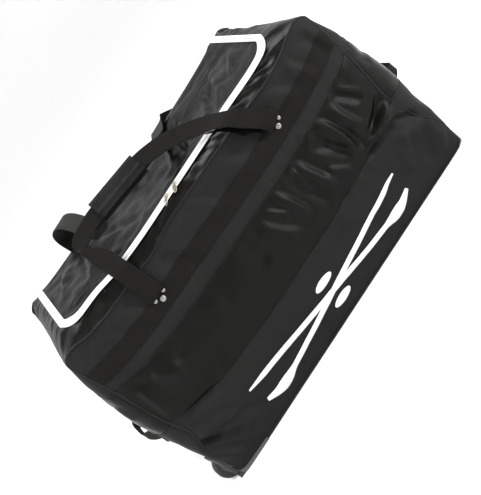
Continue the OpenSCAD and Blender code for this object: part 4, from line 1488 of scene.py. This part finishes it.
def pull_outline(ring, centre):
    """A pull's tapered outline, met by rays from its eye at the angles in ring; in mm."""
    length = 27
    along = np.linspace(0, length, 28)
    half = np.interp(along, [0, 2, 5, 9, 14, 20, 24, 26, length],
                     [2.6, 3.3, 3.1, 4.4, 5.6, 5.8, 4.4, 2.6, 0.4])
    outer = []
    for a in ring:
        for reach in np.arange(2, 28, 0.1):
            q = np.array([centre, 0]) + np.array([math.cos(a), math.sin(a)]) * reach
            if q[0] > length or q[0] < 0 or abs(q[1]) > np.interp(q[0], along, half):
                break
        outer.append(q)
    return np.array(outer)


PULL_DROOP = 0.42


def make_sliders():
    """Two zip sliders with rounded bodies, and oval pulls with an eye."""
    for name, lean in (("left", -52), ("right", -38)):
        body_low, body_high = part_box(f"{name}_slider")
        cx = (body_low.x + body_high.x) / 2
        y0, z0 = ZIP_Y, float(top_height(np.array(cx), np.array(ZIP_Y))) + 1.4 * MM
        obj = merged(f"{name}_slider_body", slider_body(cx, y0, z0))
        dress(obj, NICKEL, "nickel", f"{name}_slider", body=f"{name}_zip_slider")
        # the pull lies on the gusset, towards the lower left
        ang = math.radians(lean)
        run = np.array([math.sin(ang), -math.cos(ang), 0]) * math.cos(PULL_DROOP)
        run = unit(run + np.array([0, 0, -math.sin(PULL_DROOP)]))
        wide = unit(np.cross(run, [0, 0, 1]))
        top = np.cross(wide, run)
        start = np.array([cx, y0 - 1.6 * MM, z0 + 4.6 * MM])
        centre, radius = 19.5, 2.9
        ring = np.linspace(0, 2 * math.pi, 40, endpoint=False)
        eye = np.stack([centre + radius * np.cos(ring), radius * np.sin(ring)], 1)
        outer = pull_outline(ring, centre)
        # once round the pull's section: top edge by the eye, rim, bottom edge
        rows = []
        for lift, k in ((0.75, 0.0), (0.9, 0.12), (0.9, 0.88), (0.75, 1.0), (-0.9, 0.88),
                        (-0.9, 0.12), (0.75, 0.0)):
            flat = eye * (1 - k) + outer * k
            rows.append(start + flat[:, :1] * MM * run + flat[:, 1:] * MM * wide
                        + lift * MM * top)
        obj = grid_object(f"{name}_pull_tab", np.stack(rows), closed=True)
        dress(obj, NICKEL, "nickel", f"{name}_pull", body=f"{name}_zip_pull")


make_sliders()

# ------------------------------------------------------------------ camera, light and floor


FOCAL_IN_PIXELS, PICTURE_HEIGHT = 1319, 495
SENSOR = 36


def make_camera():
    """The photo's own view: about three metres off, a little above, and rolled."""
    target = Vector((-0.0205, 0, 0.2168))
    distance, pitch, yaw = 3.053, math.radians(17.88), math.radians(-4.83)
    level, roll = math.radians(0.99), math.radians(55.8)
    forward = Vector((-math.sin(yaw) * math.cos(pitch), math.cos(yaw) * math.cos(pitch),
                      -math.sin(pitch)))
    right = Vector((math.cos(yaw), math.sin(yaw), 0))
    up = right.cross(forward)
    turn = level - roll
    cam_right = right * math.cos(turn) + up * math.sin(turn)
    cam_up = -right * math.sin(turn) + up * math.cos(turn)
    data = bpy.data.cameras.new("camera")
    data.lens = SENSOR * FOCAL_IN_PIXELS / PICTURE_HEIGHT
    data.sensor_width = SENSOR
    data.clip_end = 50
    cam = bpy.data.objects.new("camera", data)
    SCENE.collection.objects.link(cam)
    basis = Matrix((cam_right, cam_up, -forward)).transposed().to_4x4()
    cam.matrix_world = Matrix.Translation(target - forward * distance) @ basis
    SCENE.camera = cam


def area_light(name, place, aim, size, power):
    data = bpy.data.lights.new(name, "AREA")
    data.shape = "RECTANGLE"
    data.size, data.size_y = size
    data.energy = power
    obj = bpy.data.objects.new(name, data)
    SCENE.collection.objects.link(obj)
    obj.location = place
    obj.rotation_euler = (Vector(aim) - Vector(place)).to_track_quat("-Z", "Y").to_euler()


def make_stage():
    """A pale floor that curves up into a wall all round."""
    ring = np.linspace(0, 2 * math.pi, 97)
    rows = []
    for r, z in [(0.001, 0), (1.5, 0), (4.5, 0), (6, 0.15), (7, 0.6), (7.6, 1.6), (8, 4), (8, 9)]:
        rows.append(np.stack([r * np.cos(ring), r * np.sin(ring), np.full(97, z)], 1))
    grid = np.stack(rows)
    grid[..., 2] -= 0.4 * MM
    obj = grid_object("studio_floor", grid)
    s = Shader("studio_white", (0.97, 0.97, 0.97), 0.9, Specular_IOR_Level=0.1,
           Emission_Color=(1, 1, 1, 1), Emission_Strength=0.12)
    s.link(s.ramp(s.noise(s.mapped((1, 1, 1)), 2.0), (0.3, (0.94, 0.94, 0.94)),
                  (0.7, (0.96, 0.96, 0.96))), s.bsdf.inputs["Base Color"])
    paint(obj, s.mat)
    world = bpy.data.worlds.new("world")
    world.use_nodes = True
    world.node_tree.nodes["Background"].inputs["Color"].default_value = (1, 1, 1, 1)
    world.node_tree.nodes["Background"].inputs["Strength"].default_value = 0.55
    SCENE.world = world
    SCENE.view_settings.view_transform = "Standard"


make_camera()
make_stage()
area_light("key", (-1.2, -2.0, 3.4), (0, 0, 0.25), (1.2, 1.0), 82)
area_light("side", (2.8, -1.6, 1.2), (0.1, 0, 0.25), (0.35, 1.8), 98)
area_light("left", (-2.8, -1.3, 0.9), (-0.1, 0, 0.25), (0.4, 1.4), 26)
area_light("top", (0.5, 1.5, 2.6), (0, 0, 0.4), (1.2, 0.4), 42)

# ------------------------------------------------------------------ CAD pieces that stay

KEEP = {
    "base_board": BOARD, "front_wheel_housing": HOUSING, "rear_wheel_housing": HOUSING,
    "housing_screws": STEEL, "wheel_axles": STEEL, "axle_bushes": HOUSING, "axle_clips": STEEL,
    "front_tyre": TYRE, "rear_tyre": TYRE, "front_hub": HOUSING, "rear_hub": HOUSING,
    "front_bearings": STEEL, "rear_bearings": STEEL, "rivet_washers": NICKEL,
}
for node_name, material in KEEP.items():
    paint(NODES[node_name], material)
